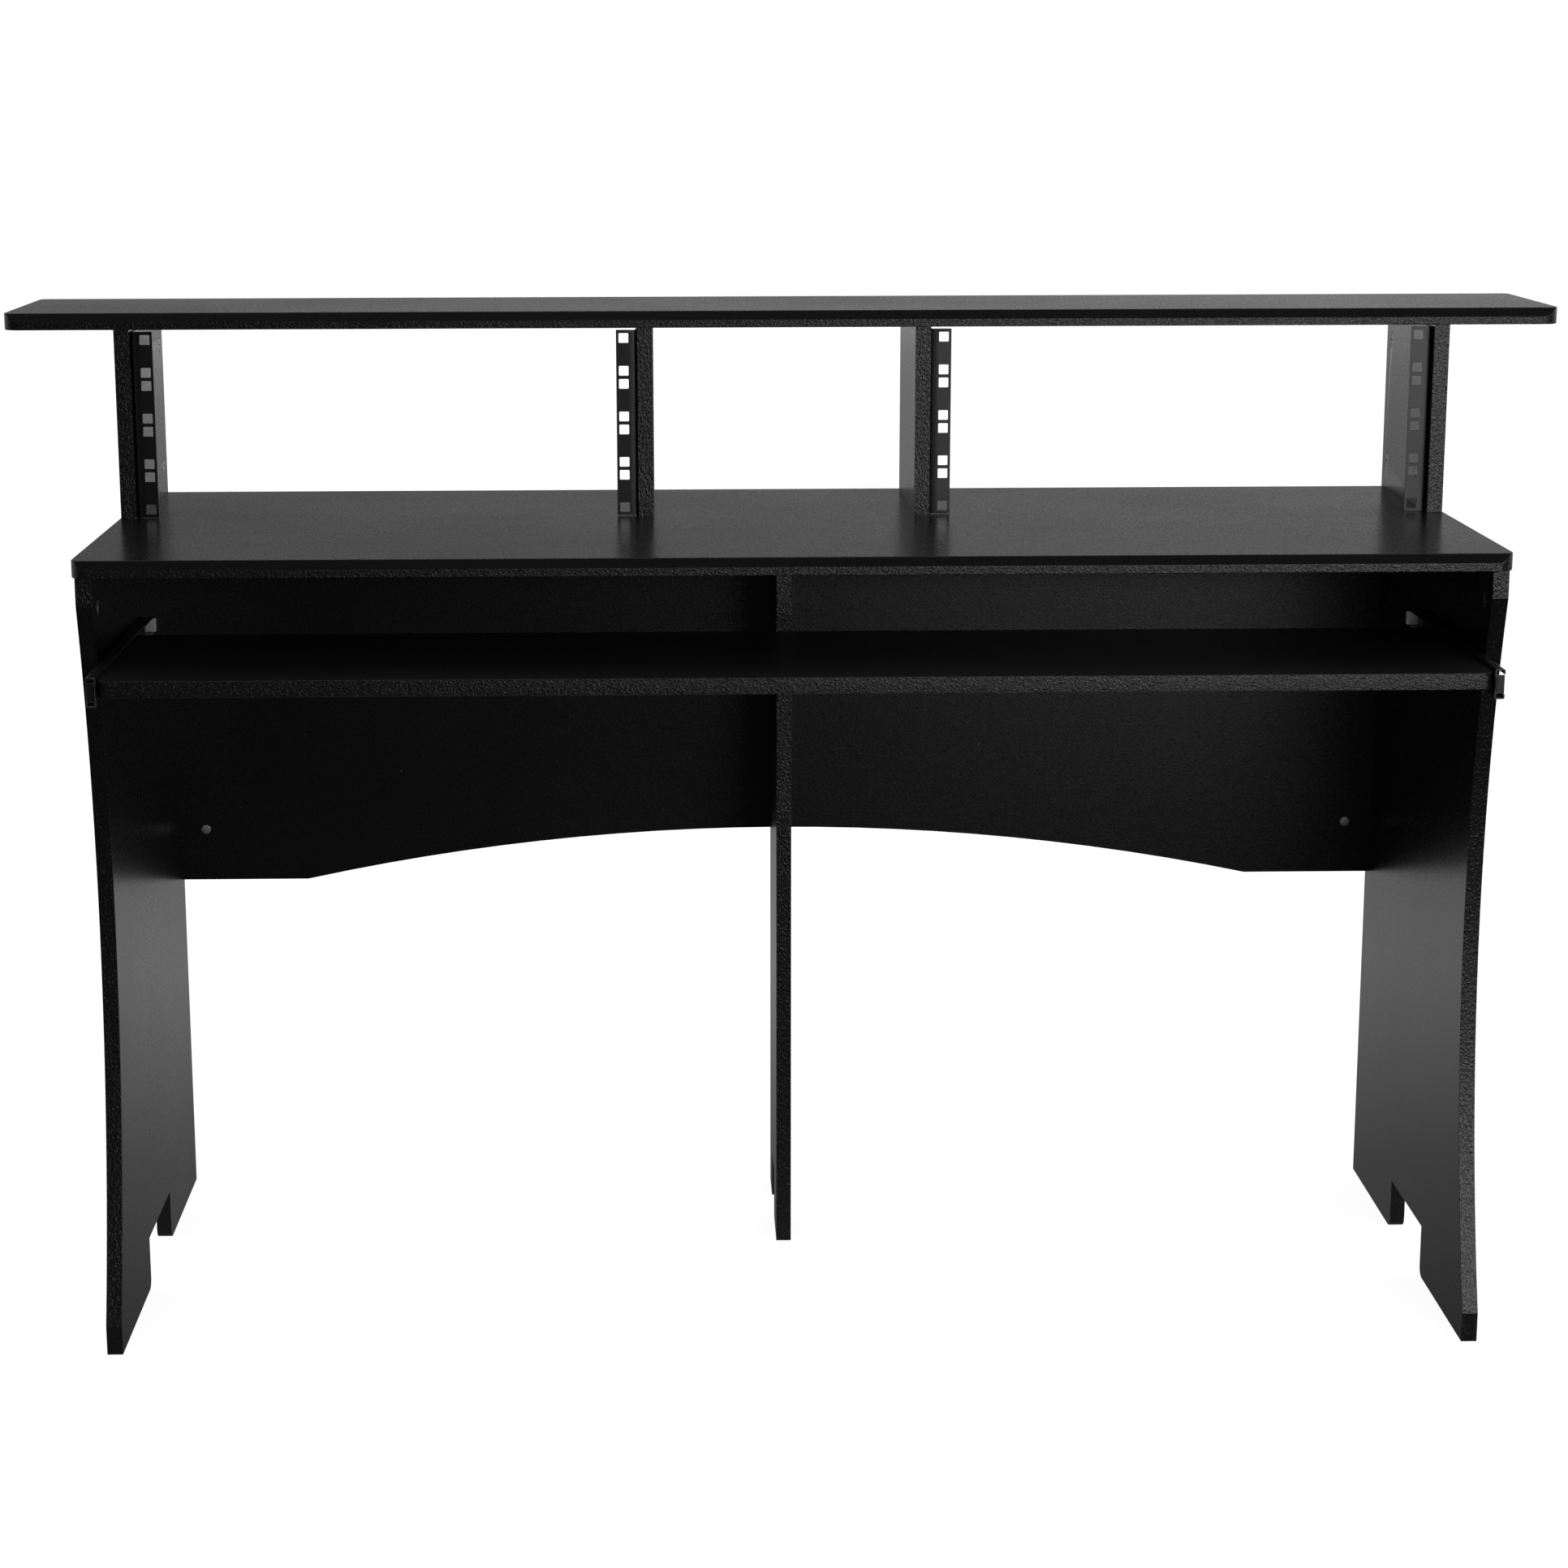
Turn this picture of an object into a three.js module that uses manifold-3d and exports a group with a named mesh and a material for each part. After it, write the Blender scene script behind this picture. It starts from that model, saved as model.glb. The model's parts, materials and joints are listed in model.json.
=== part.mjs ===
// A studio desk: a desktop on three legs with a modesty panel, a keyboard tray on ball-bearing slides,
// and an upper part of four uprights that carry a shelf and hold two 4-unit bays for 19-inch gear.
// Millimetres, +Z up, front towards -Y, left towards -X. The origin is on the floor, at the middle of
// the space that the desk fills with its tray drawn out as shown.

import * as THREE from 'three';
import { mergeVertices } from 'three/addons/utils/BufferGeometryUtils.js';
import Module from 'manifold-3d';

const wasm = await Module();
wasm.setup();

// Desktop
const deskWidth = 1304;
const deskDepth = 515;
const deskHeight = 752;

// Boards of the legs, the panel, the uprights and the tray
const boardThickness = 15;

// Boards of the desktop and the shelf: rounded front corners, and a bevel along the upper front edge
const topThickness = 16;
const frontRadius = 15;
const bevelHeight = 8.5;
const bevelDepth = 5;

// Top shelf
const shelfWidth = 1512;
const shelfDepth = 215;
const shelfOverhang = 5;
const shelfBackRadius = 6;

// Uprights
const uprightHeight = 184;
const uprightDepth = 220;
const uprightInset = 2;

// Rails for 19-inch gear: the unit and the spacing of the hole rows are the standard's
const rackUnitHeight = 44.45;
const rackUnits = 4;
const rackRowSpacing = 465.1;
const rackRowFromUpright = 13.45;
const rackHoleSize = 9.5;
const rackHoleFromUnitEnd = 6.35;
const railSteel = 2;
const railBendRadius = 3;
const railEdgeFromHole = 7.3;
const railSideFlange = 24;
const railRecess = 10;
const railEndLength = 1.5;

// Side legs: places are measured behind the desktop's front edge and above the floor
const legInset = 3;
const legRecess = 9;
const legNeckHeight = 26;
const legWaistBehind = 58;
const legWaistHeight = 385;
const toeAhead = 8;
const toeHeight = 28;
const legArchStart = 177;
const legArchWidth = 143;
const legArchHeight = 51;
const footRadius = 10;

// Centre leg
const centreLegDepth = 203;
const centreFootLength = 74;
const centreArchWidth = 65;

// Modesty panel
const panelHeight = 396;
const panelArchHalfWidth = 500;
const panelArchRise = 53;

// Keyboard tray, drawn out as shown
const trayDepth = 256;
const trayRadius = 10;
const trayBelowDesktop = 81;
const trayReach = 69;

// Ball-bearing slides
const slideThickness = 12.7;
const slideHeight = 27;
const slideLength = 300;
const slideSetback = 6;
const slideBelowTray = 2.5;
const slideSteel = 1.2;
const outerFlange = 9;
const outerLip = 2.3;
const innerHeight = 16.6;
const innerTipGap = 3;
const ballRadius = 1.8;
const ballCount = 6;
const ballPitch = 15;
const cageSteel = 0.8;
const cageEnd = 7.5;
const cageFlangeBeyondBall = 0.4;
const cageWebGap = 0.6;

// Stops behind the slides
const stopWidth = 11.5;
const stopHeight = 13.5;
const stopLength = 8;

// Cam locks: discs let into a board's face near a joint
const camRadius = 7.2;
const camDepth = 12;
const camFromJoint = 30;
const camFromEdge = 22;
const camSlotWidth = 2;
const camSlotDepth = 1.5;
const camSlotShare = 0.8;
const legCamBehind = 39;
const legCamBelowDesktop = 32;
const legRearCamFromPanel = 30;

// Bolts through the legs into barrel nuts in the panel
const boltRadius = 3;
const boltLength = 50;
const boltHeadRadius = 7.5;
const boltHeadHeight = 2.2;
const boltSocketRadius = 2.3;
const boltSocketDepth = 1.6;
const nutRadius = 5;
const nutLength = 13;
const nutFromPanelEnd = 27;
const nutAbovePanelBottom = 54.5;
const nutBelowPanelTop = 56;
const nutSlotWidth = 1.6;
const nutSlotDepth = 1.2;

// Screws through the panel into the centre leg
const panelScrewRadius = 3;
const panelScrewHeadRadius = 5;
const panelScrewHeadHeight = 4;
const panelScrewLength = 50;
const panelScrewCount = 3;
const panelScrewAboveArch = 45;
const panelScrewBelowTop = 48;

// Screws of the rails and of the fixed slide members
const screwRadius = 1.75;
const screwHeadRadius = 3.6;
const screwHeadHeight = 1.6;
const screwLength = 12;
const railScrewFromEnd = 30;
const slideScrewFromEnd = 40;
const crossWidth = 0.9;
const crossDepth = 0.8;
const crossShare = 1.2;

// Clearance of what sits in a hole, and how far a cut runs past a face
const holeGap = 0.3;
const overrun = 2;

// Facets
const roundSides = 20;
const smallSides = 12;
const hexSides = 6;
const ballSides = 8;
const ballRings = 6;
const legArcSteps = 22;
const panelArcSteps = 24;
const cornerSteps = 4;
const frontCornerSteps = 8;

// Finishes
const boardFinish = new THREE.MeshStandardMaterial({ color: 0x1c1c1d, roughness: 0.45, metalness: 0 });
const railFinish = new THREE.MeshStandardMaterial({ color: 0x141415, roughness: 0.5, metalness: 0.3 });
const slideFinish = new THREE.MeshStandardMaterial({ color: 0x1f1f20, roughness: 0.35, metalness: 0.8 });
const cageFinish = new THREE.MeshStandardMaterial({ color: 0xa8a8a8, roughness: 0.3, metalness: 0.9 });
const zincFinish = new THREE.MeshStandardMaterial({ color: 0xc9c9c6, roughness: 0.35, metalness: 0.9 });
const stopFinish = new THREE.MeshStandardMaterial({ color: 0xa9a9a6, roughness: 0.6, metalness: 0 });
const screwFinish = new THREE.MeshStandardMaterial({ color: 0x2a2a2b, roughness: 0.4, metalness: 0.8 });

// Places that the sizes give
const deskFront = (trayReach - deskDepth) / 2;
const deskBack = deskFront + deskDepth;
const deskUnderside = deskHeight - topThickness;
const legOuter = deskWidth / 2 - legInset;
const legInner = legOuter - boardThickness;
const panelFront = deskBack - boardThickness;
const uprightFront = deskBack - uprightDepth;
const shelfFront = uprightFront - shelfOverhang;
const shelfUnderside = deskHeight + uprightHeight;
const bayWidth = rackRowSpacing + 2 * rackRowFromUpright;
const panelBottom = deskUnderside - panelHeight;
const trayTop = deskUnderside - trayBelowDesktop;
const trayHalf = legInner - slideThickness;
const trayFront = deskFront - trayReach;
const trayMiddle = trayTop - boardThickness / 2;
const slideMiddle = trayMiddle - slideBelowTray;
const fixedFront = deskFront + slideSetback;
const fixedRear = fixedFront + slideLength;
const centreLegFront = panelFront - centreLegDepth;

const desk = new THREE.Group();
const axisX = new THREE.Vector3(1, 0, 0);
const axisY = new THREE.Vector3(0, 1, 0);
const axisZ = new THREE.Vector3(0, 0, 1);
const sides = [['left', -1], ['right', 1]];

// A closed geometry as a solid that can be joined and cut
function solid(geometry) {
  const bare = geometry.index ? geometry.toNonIndexed() : geometry.clone();
  bare.deleteAttribute('normal');
  bare.deleteAttribute('uv');
  const merged = mergeVertices(bare);
  const vertProperties = new Float32Array(merged.attributes.position.array);
  const triVerts = new Uint32Array(merged.index.array);
  return new wasm.Manifold(new wasm.Mesh({ numProp: 3, vertProperties, triVerts }));
}

// A solid back as a geometry
function geometryOf(shape) {
  const mesh = shape.getMesh();
  const geometry = new THREE.BufferGeometry();
  geometry.setAttribute('position', new THREE.BufferAttribute(new Float32Array(mesh.vertProperties), 3));
  geometry.setIndex(new THREE.BufferAttribute(new Uint32Array(mesh.triVerts), 1));
  const flat = geometry.toNonIndexed();
  flat.computeVertexNormals();
  return flat;
}

function add(name, shape, finish) {
  const mesh = new THREE.Mesh(geometryOf(shape), finish);
  mesh.name = name;
  desk.add(mesh);
}

// A block between two corners
function block(low, high) {
  const size = high.map((value, i) => value - low[i]);
  const geometry = new THREE.BoxGeometry(...size);
  geometry.translate(...low.map((value, i) => value + size[i] / 2));
  return solid(geometry);
}

// An outline of [a, b] points drawn out between two places along the third axis
function prism(points, along, from, to) {
  const outline = new THREE.Shape(points.map(([a, b]) => new THREE.Vector2(a, b)));
  const geometry = new THREE.ExtrudeGeometry(outline, { depth: to - from, bevelEnabled: false });
  geometry.translate(0, 0, from);
  if (along === 'x') geometry.applyMatrix4(new THREE.Matrix4().makeBasis(axisY, axisZ, axisX));
  if (along === 'y') geometry.applyMatrix4(new THREE.Matrix4().makeBasis(axisZ, axisX, axisY));
  return solid(geometry);
}

// A round rod from a point along a direction
function rod(radius, from, direction, length, count = roundSides) {
  const geometry = new THREE.CylinderGeometry(radius, radius, length, count);
  geometry.translate(0, length / 2, 0);
  const turn = new THREE.Quaternion().setFromUnitVectors(axisY, new THREE.Vector3(...direction));
  geometry.applyQuaternion(turn);
  geometry.translate(...from);
  return solid(geometry);
}

function joined(shapes) {
  return shapes.reduce((whole, shape) => whole.add(shape));
}

function cut(shape, tools) {
  return tools.reduce((rest, tool) => rest.subtract(tool), shape);
}

// Points on the circle through three points, from the first to the last
function arcThrough(start, middle, end, steps) {
  const [ax, ay] = start;
  const [bx, by] = middle;
  const [cx, cy] = end;
  const d = 2 * (ax * (by - cy) + bx * (cy - ay) + cx * (ay - by));
  const [a2, b2, c2] = [ax * ax + ay * ay, bx * bx + by * by, cx * cx + cy * cy];
  const ux = (a2 * (by - cy) + b2 * (cy - ay) + c2 * (ay - by)) / d;
  const uy = (a2 * (cx - bx) + b2 * (ax - cx) + c2 * (bx - ax)) / d;
  const radius = Math.hypot(ax - ux, ay - uy);
  const from = Math.atan2(ay - uy, ax - ux);
  let sweep = Math.atan2(cy - uy, cx - ux) - from;
  if (sweep > Math.PI) sweep -= 2 * Math.PI;
  if (sweep < -Math.PI) sweep += 2 * Math.PI;
  const points = [];
  for (let i = 0; i <= steps; i += 1) {
    const angle = from + (sweep * i) / steps;
    points.push([ux + radius * Math.cos(angle), uy + radius * Math.sin(angle)]);
  }
  return points;
}

// A rounded corner: a quarter circle about a centre, between two angles in quarter turns
function corner(centre, radius, fromQuarter, toQuarter, steps = cornerSteps) {
  const points = [];
  for (let i = 0; i <= steps; i += 1) {
    const angle = ((fromQuarter + ((toQuarter - fromQuarter) * i) / steps) * Math.PI) / 2;
    points.push([centre[0] + radius * Math.cos(angle), centre[1] + radius * Math.sin(angle)]);
  }
  return points;
}

// The desktop or the shelf, whose outline runs anticlockwise seen from above
function topBoard(width, front, depth, bottom, backRadius) {
  const halfWidth = width / 2;
  const back = front + depth;
  const top = bottom + topThickness;
  const ahead = [halfWidth - frontRadius, front + frontRadius];
  const behind = [halfWidth - backRadius, back - backRadius];
  const right = [
    ...corner(ahead, frontRadius, -1, 0, frontCornerSteps),
    ...(backRadius > 0 ? corner(behind, backRadius, 0, 1) : [behind]),
  ];
  const left = right.map(([x, y]) => [-x, y]).reverse();
  const wedge = [
    [front - overrun, top - bevelHeight],
    [front, top - bevelHeight],
    [front + bevelDepth, top],
    [front + bevelDepth, top + overrun],
    [front - overrun, top + overrun],
  ];
  return prism([...right, ...left], 'z', bottom, top)
    .subtract(prism(wedge, 'x', -halfWidth - overrun, halfWidth + overrun));
}

// A foot's lower end, seen from the side, with a rounded corner beside the arch
function archPoints(start, width, height) {
  const end = start + width;
  return [
    ...corner([start - footRadius, footRadius], footRadius, -1, 0),
    [start, height],
    [end, height],
    ...corner([end + footRadius, footRadius], footRadius, 2, 3),
  ];
}

// The outline of a side leg, anticlockwise from the toe, behind the front edge and above the floor
function sideLegOutline() {
  const neck = deskUnderside - legNeckHeight;
  const waist = [legWaistBehind, legWaistHeight];
  const front = arcThrough([-toeAhead, toeHeight], waist, [legRecess, neck], legArcSteps);
  const points = [
    [-toeAhead, 0],
    ...archPoints(legArchStart, legArchWidth, legArchHeight),
    [deskDepth, 0],
    [deskDepth, deskUnderside],
    [legRecess, deskUnderside],
    ...front.reverse(),
  ];
  return points.map(([behind, height]) => [deskFront + behind, height]);
}

function centreLegOutline() {
  const points = [
    [0, 0],
    ...archPoints(centreFootLength, centreArchWidth, legArchHeight),
    [centreLegDepth, 0],
    [centreLegDepth, deskUnderside],
    [0, deskUnderside],
  ];
  return points.map(([behind, height]) => [centreLegFront + behind, height]);
}

// The outline of the panel from the front, anticlockwise from its lower left corner, as [z, x] pairs
function panelOutline() {
  const arch = arcThrough([-panelArchHalfWidth, panelBottom], [0, panelBottom + panelArchRise],
    [panelArchHalfWidth, panelBottom], panelArcSteps);
  const points = [[-legInner, panelBottom], ...arch, [legInner, panelBottom], [legInner, deskUnderside],
    [-legInner, deskUnderside]];
  return points.map(([x, z]) => [z, x]).reverse();
}

// A cam lock's disc and its recess: centre on the face, and the way into the board
const camSpots = [];
function camLock(name, centre, inward, host) {
  camSpots.push({ name, centre, inward, host });
}

function camRecesses(host) {
  return camSpots.filter((spot) => spot.host === host).map(({ centre, inward }) => {
    const start = centre.map((value, i) => value - inward[i] * overrun);
    return rod(camRadius + holeGap, start, inward, camDepth + holeGap + overrun);
  });
}

function camDisc(centre, inward) {
  const [x, y, z] = centre;
  const disc = rod(camRadius, centre, inward, camDepth);
  const arm = camRadius * camSlotShare;
  const half = camSlotWidth / 2;
  const [left, right] = [x - camSlotDepth, x + camSlotDepth];
  const upSlot = block([left, y - half, z - arm], [right, y + half, z + arm]);
  const acrossSlot = block([left, y - arm, z - half], [right, y + arm, z + half]);
  return cut(disc, [upSlot, acrossSlot]);
}

// A pan-head screw that points left or right, from the point under its head
function screw([x, y, z], into) {
  const shankStart = [x - into * screwHeadHeight / 2, y, z];
  const shank = rod(screwRadius, shankStart, [into, 0, 0], screwLength + screwHeadHeight / 2, smallSides);
  const head = rod(screwHeadRadius, [x, y, z], [-into, 0, 0], screwHeadHeight, smallSides);
  const top = x - into * screwHeadHeight;
  const arm = (screwHeadRadius * crossShare) / 2;
  const half = crossWidth / 2;
  const upBar = block([top - crossDepth, y - half, z - arm], [top + crossDepth, y + half, z + arm]);
  const acrossBar = block([top - crossDepth, y - arm, z - half], [top + crossDepth, y + arm, z + half]);
  return cut(shank.add(head), [upBar, acrossBar]);
}

function screwHole([x, y, z], into) {
  return rod(screwRadius + holeGap, [x - into * overrun, y, z], [into, 0, 0], screwLength + holeGap + overrun,
    smallSides);
}

// Uprights: the outer pair stands just inside the desktop's ends
const outerUprightInner = deskWidth / 2 - uprightInset - boardThickness;
const innerUprightOuter = outerUprightInner - bayWidth;
const uprights = [];
for (const [side, s] of sides) {
  uprights.push({ name: `upright_outer_${side}`, face: s * outerUprightInner, into: s });
  uprights.push({ name: `upright_inner_${side}`, face: s * innerUprightOuter, into: -s });
}
for (const upright of uprights) {
  const y = deskBack - camFromEdge;
  const spots = [['top', shelfUnderside - camFromJoint], ['bottom', deskHeight + camFromJoint]];
  for (const [end, z] of spots) {
    const name = `cam_lock_${upright.name.replace('upright_', '')}_${end}`;
    camLock(name, [upright.face, y, z], [upright.into, 0, 0], upright.name);
  }
}

// Cam locks that draw the legs up to the desktop
const legCamHeight = deskUnderside - legCamBelowDesktop;
for (const [side, s] of sides) {
  for (const [end, y] of [['front', deskFront + legCamBehind], ['rear', panelFront - legRearCamFromPanel]]) {
    camLock(`cam_lock_leg_${side}_${end}`, [s * legInner, y, legCamHeight], [s, 0, 0], `side_leg_${side}`);
  }
}
const centreLegMiddle = (centreLegFront + panelFront) / 2;
camLock('cam_lock_centre_leg', [boardThickness / 2, centreLegMiddle, legCamHeight], [-1, 0, 0], 'centre_leg');

for (const spot of camSpots) {
  add(spot.name, camDisc(spot.centre, spot.inward), zincFinish);
}

// Rack rails: the hole rows are the standard distance apart, as far from one upright as from the other
const railFlange = rackRowFromUpright + railEdgeFromHole;
const railFront = uprightFront + railRecess;
const railLow = deskHeight + holeGap;
const railHigh = railLow + rackUnits * rackUnitHeight + 2 * railEndLength;
const railScrewPlaces = [railLow + railScrewFromEnd, railHigh - railScrewFromEnd];

function railOutline(face, into) {
  const bend = corner([railBendRadius, railBendRadius], railBendRadius, 2, 3);
  const points = [
    ...bend,
    [railFlange, 0],
    [railFlange, railSteel],
    [railSteel, railSteel],
    [railSteel, railSideFlange],
    [0, railSideFlange],
  ];
  return points.map(([x, y]) => [face - into * x, railFront + y]);
}

function railHoles(face, into) {
  const row = face - into * rackRowFromUpright;
  const half = rackHoleSize / 2;
  const holes = [];
  for (let unit = 0; unit < rackUnits; unit += 1) {
    const base = railLow + railEndLength + unit * rackUnitHeight;
    for (const z of [base + rackHoleFromUnitEnd, base + rackUnitHeight - rackHoleFromUnitEnd]) {
      const back = railFront + railSteel + overrun;
      holes.push(block([row - half, railFront - overrun, z - half], [row + half, back, z + half]));
    }
  }
  return holes;
}

for (const upright of uprights) {
  const { face, into, name } = upright;
  const y = railFront + railSideFlange / 2;
  const place = name.replace('upright_', '');
  const rail = prism(railOutline(face, into), 'z', railLow, railHigh);
  const holes = [];
  railScrewPlaces.forEach((z, i) => {
    const head = [face - into * railSteel, y, z];
    holes.push(screwHole(head, into));
    add(`rail_screw_${place}_${i === 0 ? 'bottom' : 'top'}`, screw(head, into), screwFinish);
  });
  add(`rack_rail_${place}`, cut(rail, [...railHoles(face, into), ...holes]), railFinish);
  const low = [Math.min(face, face + into * boardThickness), uprightFront, deskHeight];
  const high = [Math.max(face, face + into * boardThickness), deskBack, shelfUnderside];
  add(name, cut(block(low, high), [...camRecesses(name), ...holes]), boardFinish);
}

// Boards
add('desktop', topBoard(deskWidth, deskFront, deskDepth, deskUnderside, 0), boardFinish);
add('top_shelf', topBoard(shelfWidth, shelfFront, shelfDepth, shelfUnderside, shelfBackRadius), boardFinish);

// Slides: the fixed member is the inner one, on the leg, and the outer one rides with the tray
function fixedMember(s) {
  const half = innerHeight / 2;
  const tip = trayHalf + innerTipGap;
  const points = [[legInner, -half], [legInner, half], [tip, half], [tip, half - slideSteel],
    [legInner - slideSteel, half - slideSteel], [legInner - slideSteel, -half + slideSteel],
    [tip, -half + slideSteel], [tip, -half]];
  return prism(points.map(([x, z]) => [slideMiddle + z, s * x]), 'y', fixedFront, fixedRear);
}

function movingMember(s) {
  const half = slideHeight / 2;
  const back = trayHalf + outerFlange;
  const points = [[trayHalf, -half], [trayHalf, half], [back, half], [back, half - outerLip],
    [back - slideSteel, half - outerLip], [back - slideSteel, half - slideSteel],
    [trayHalf + slideSteel, half - slideSteel], [trayHalf + slideSteel, -half + slideSteel],
    [back - slideSteel, -half + slideSteel], [back - slideSteel, -half + outerLip], [back, -half + outerLip],
    [back, -half]];
  return prism(points.map(([x, z]) => [slideMiddle + z, s * x]), 'y', trayFront, trayFront + slideLength);
}

// The cage sits midway between the middles of the two members, and moves half as far as the tray
function ballCage(s) {
  const middle = (fixedFront + trayFront + slideLength) / 2;
  const halfLength = ((ballCount - 1) * ballPitch) / 2 + cageEnd;
  const ballLevel = (innerHeight / 2 + slideHeight / 2 - slideSteel) / 2;
  const web = trayHalf + slideSteel + cageWebGap;
  const ballX = web + cageSteel + ballRadius;
  const tip = ballX + ballRadius + cageFlangeBeyondBall;
  const top = ballLevel + cageSteel / 2;
  const back = web + cageSteel;
  const points = [[web, -top], [web, top], [tip, top], [tip, top - cageSteel], [back, top - cageSteel],
    [back, -top + cageSteel], [tip, -top + cageSteel], [tip, -top]];
  const strip = prism(points.map(([x, z]) => [slideMiddle + z, s * x]), 'y', middle - halfLength,
    middle + halfLength);
  const balls = [];
  for (let i = 0; i < ballCount; i += 1) {
    for (const level of [-ballLevel, ballLevel]) {
      const ball = new THREE.SphereGeometry(ballRadius, ballSides, ballRings);
      ball.translate(s * ballX, middle + (i - (ballCount - 1) / 2) * ballPitch, slideMiddle + level);
      balls.push(solid(ball));
    }
  }
  return joined([strip, ...balls]);
}

// Side legs with their slides, bolts, nuts and stops
const nutPlaces = [['bottom', panelBottom + nutAbovePanelBottom], ['top', deskUnderside - nutBelowPanelTop]];
const boltY = panelFront + boardThickness / 2;
const slideScrewPlaces = [['front', fixedFront + slideScrewFromEnd], ['rear', fixedRear - slideScrewFromEnd]];
const panelCuts = [];

for (const [side, s] of sides) {
  const legCuts = camRecesses(`side_leg_${side}`);
  const memberCuts = [];
  for (const [end, y] of slideScrewPlaces) {
    const place = [s * (legInner - slideSteel), y, slideMiddle];
    memberCuts.push(screwHole(place, s));
    add(`slide_screw_${side}_${end}`, screw(place, s), screwFinish);
  }
  for (const [end, z] of nutPlaces) {
    const start = [s * (legOuter + boltHeadHeight / 2), boltY, z];
    const shank = rod(boltRadius, start, [-s, 0, 0], boltLength + boltHeadHeight / 2, smallSides);
    const head = rod(boltHeadRadius, [s * legOuter, boltY, z], [s, 0, 0], boltHeadHeight);
    const socketStart = [s * (legOuter + boltHeadHeight + overrun), boltY, z];
    const socket = rod(boltSocketRadius, socketStart, [-s, 0, 0], boltSocketDepth + overrun, hexSides);
    add(`panel_bolt_${side}_${end}`, cut(shank.add(head), [socket]), screwFinish);
    const way = rod(boltRadius + holeGap, [s * (legOuter + overrun), boltY, z], [-s, 0, 0],
      boltLength + overrun + holeGap, smallSides);
    legCuts.push(way);
    const nutX = s * (legInner - nutFromPanelEnd);
    const nut = rod(nutRadius, [nutX, panelFront, z], [0, 1, 0], nutLength);
    const slot = block([nutX - nutRadius, panelFront - overrun, z - nutSlotWidth / 2],
      [nutX + nutRadius, panelFront + nutSlotDepth, z + nutSlotWidth / 2]);
    add(`barrel_nut_${side}_${end}`, cut(nut, [slot, way]), zincFinish);
    const well = rod(nutRadius + holeGap, [nutX, panelFront - overrun, z], [0, 1, 0],
      nutLength + holeGap + overrun);
    panelCuts.push(way, well);
  }
  const [legLow, legHigh] = [s * legInner, s * legOuter].sort((a, b) => a - b);
  const leg = prism(sideLegOutline(), 'x', legLow, legHigh);
  add(`side_leg_${side}`, cut(leg, [...legCuts, ...memberCuts]), boardFinish);
  add(`slide_fixed_${side}`, cut(fixedMember(s), memberCuts), slideFinish);
  add(`slide_moving_${side}`, movingMember(s), slideFinish);
  add(`ball_cage_${side}`, ballCage(s), cageFinish);
  const stopLow = fixedRear + holeGap;
  const [left, right] = [s * (legInner - stopWidth), s * legInner].sort((a, b) => a - b);
  const stop = block([left, stopLow, slideMiddle - stopHeight / 2],
    [right, stopLow + stopLength, slideMiddle + stopHeight / 2]);
  add(`slide_stop_${side}`, stop, stopFinish);
}

// Centre leg and modesty panel, with the screws that join them from behind
const screwWays = [];
const lowScrew = panelBottom + panelArchRise + panelScrewAboveArch;
const highScrew = deskUnderside - panelScrewBelowTop;
for (let i = 0; i < panelScrewCount; i += 1) {
  const z = lowScrew + ((highScrew - lowScrew) * i) / (panelScrewCount - 1);
  const shank = rod(panelScrewRadius, [0, deskBack - panelScrewHeadHeight / 2, z], [0, -1, 0],
    panelScrewLength - panelScrewHeadHeight / 2, smallSides);
  const head = rod(panelScrewHeadRadius, [0, deskBack, z], [0, -1, 0], panelScrewHeadHeight);
  const start = [0, deskBack + overrun, z];
  const socket = rod(boltSocketRadius, start, [0, -1, 0], boltSocketDepth + overrun, hexSides);
  add(`panel_screw_${i + 1}`, cut(shank.add(head), [socket]), screwFinish);
  const wayLength = panelScrewLength + holeGap + overrun;
  screwWays.push(rod(panelScrewRadius + holeGap, start, [0, -1, 0], wayLength, smallSides));
  const sinkLength = panelScrewHeadHeight + holeGap + overrun;
  panelCuts.push(rod(panelScrewHeadRadius + holeGap, start, [0, -1, 0], sinkLength));
}
add('centre_leg', cut(prism(centreLegOutline(), 'x', -boardThickness / 2, boardThickness / 2),
  [...camRecesses('centre_leg'), ...screwWays]), boardFinish);
add('modesty_panel', cut(prism(panelOutline(), 'y', panelFront, deskBack), [...panelCuts, ...screwWays]),
  boardFinish);

// Keyboard tray, rounded at its front corners
const trayRight = [
  ...corner([trayHalf - trayRadius, trayFront + trayRadius], trayRadius, -1, 0, frontCornerSteps),
  [trayHalf, trayFront + trayDepth],
];
const trayLeft = trayRight.map(([x, y]) => [-x, y]).reverse();
add('keyboard_tray', prism([...trayRight, ...trayLeft], 'z', trayTop - boardThickness, trayTop), boardFinish);

export default desk;
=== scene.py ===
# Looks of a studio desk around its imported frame: melamine boards with textured lipping, folded rack rails,
# ball-bearing slides and fittings, in a plain pale studio. Metres, +Z up, front towards -Y.

import json
import math

import bmesh
import bpy
from bpy.props import FloatProperty, FloatVectorProperty, IntProperty, PointerProperty
from mathutils import Matrix, Vector

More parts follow.
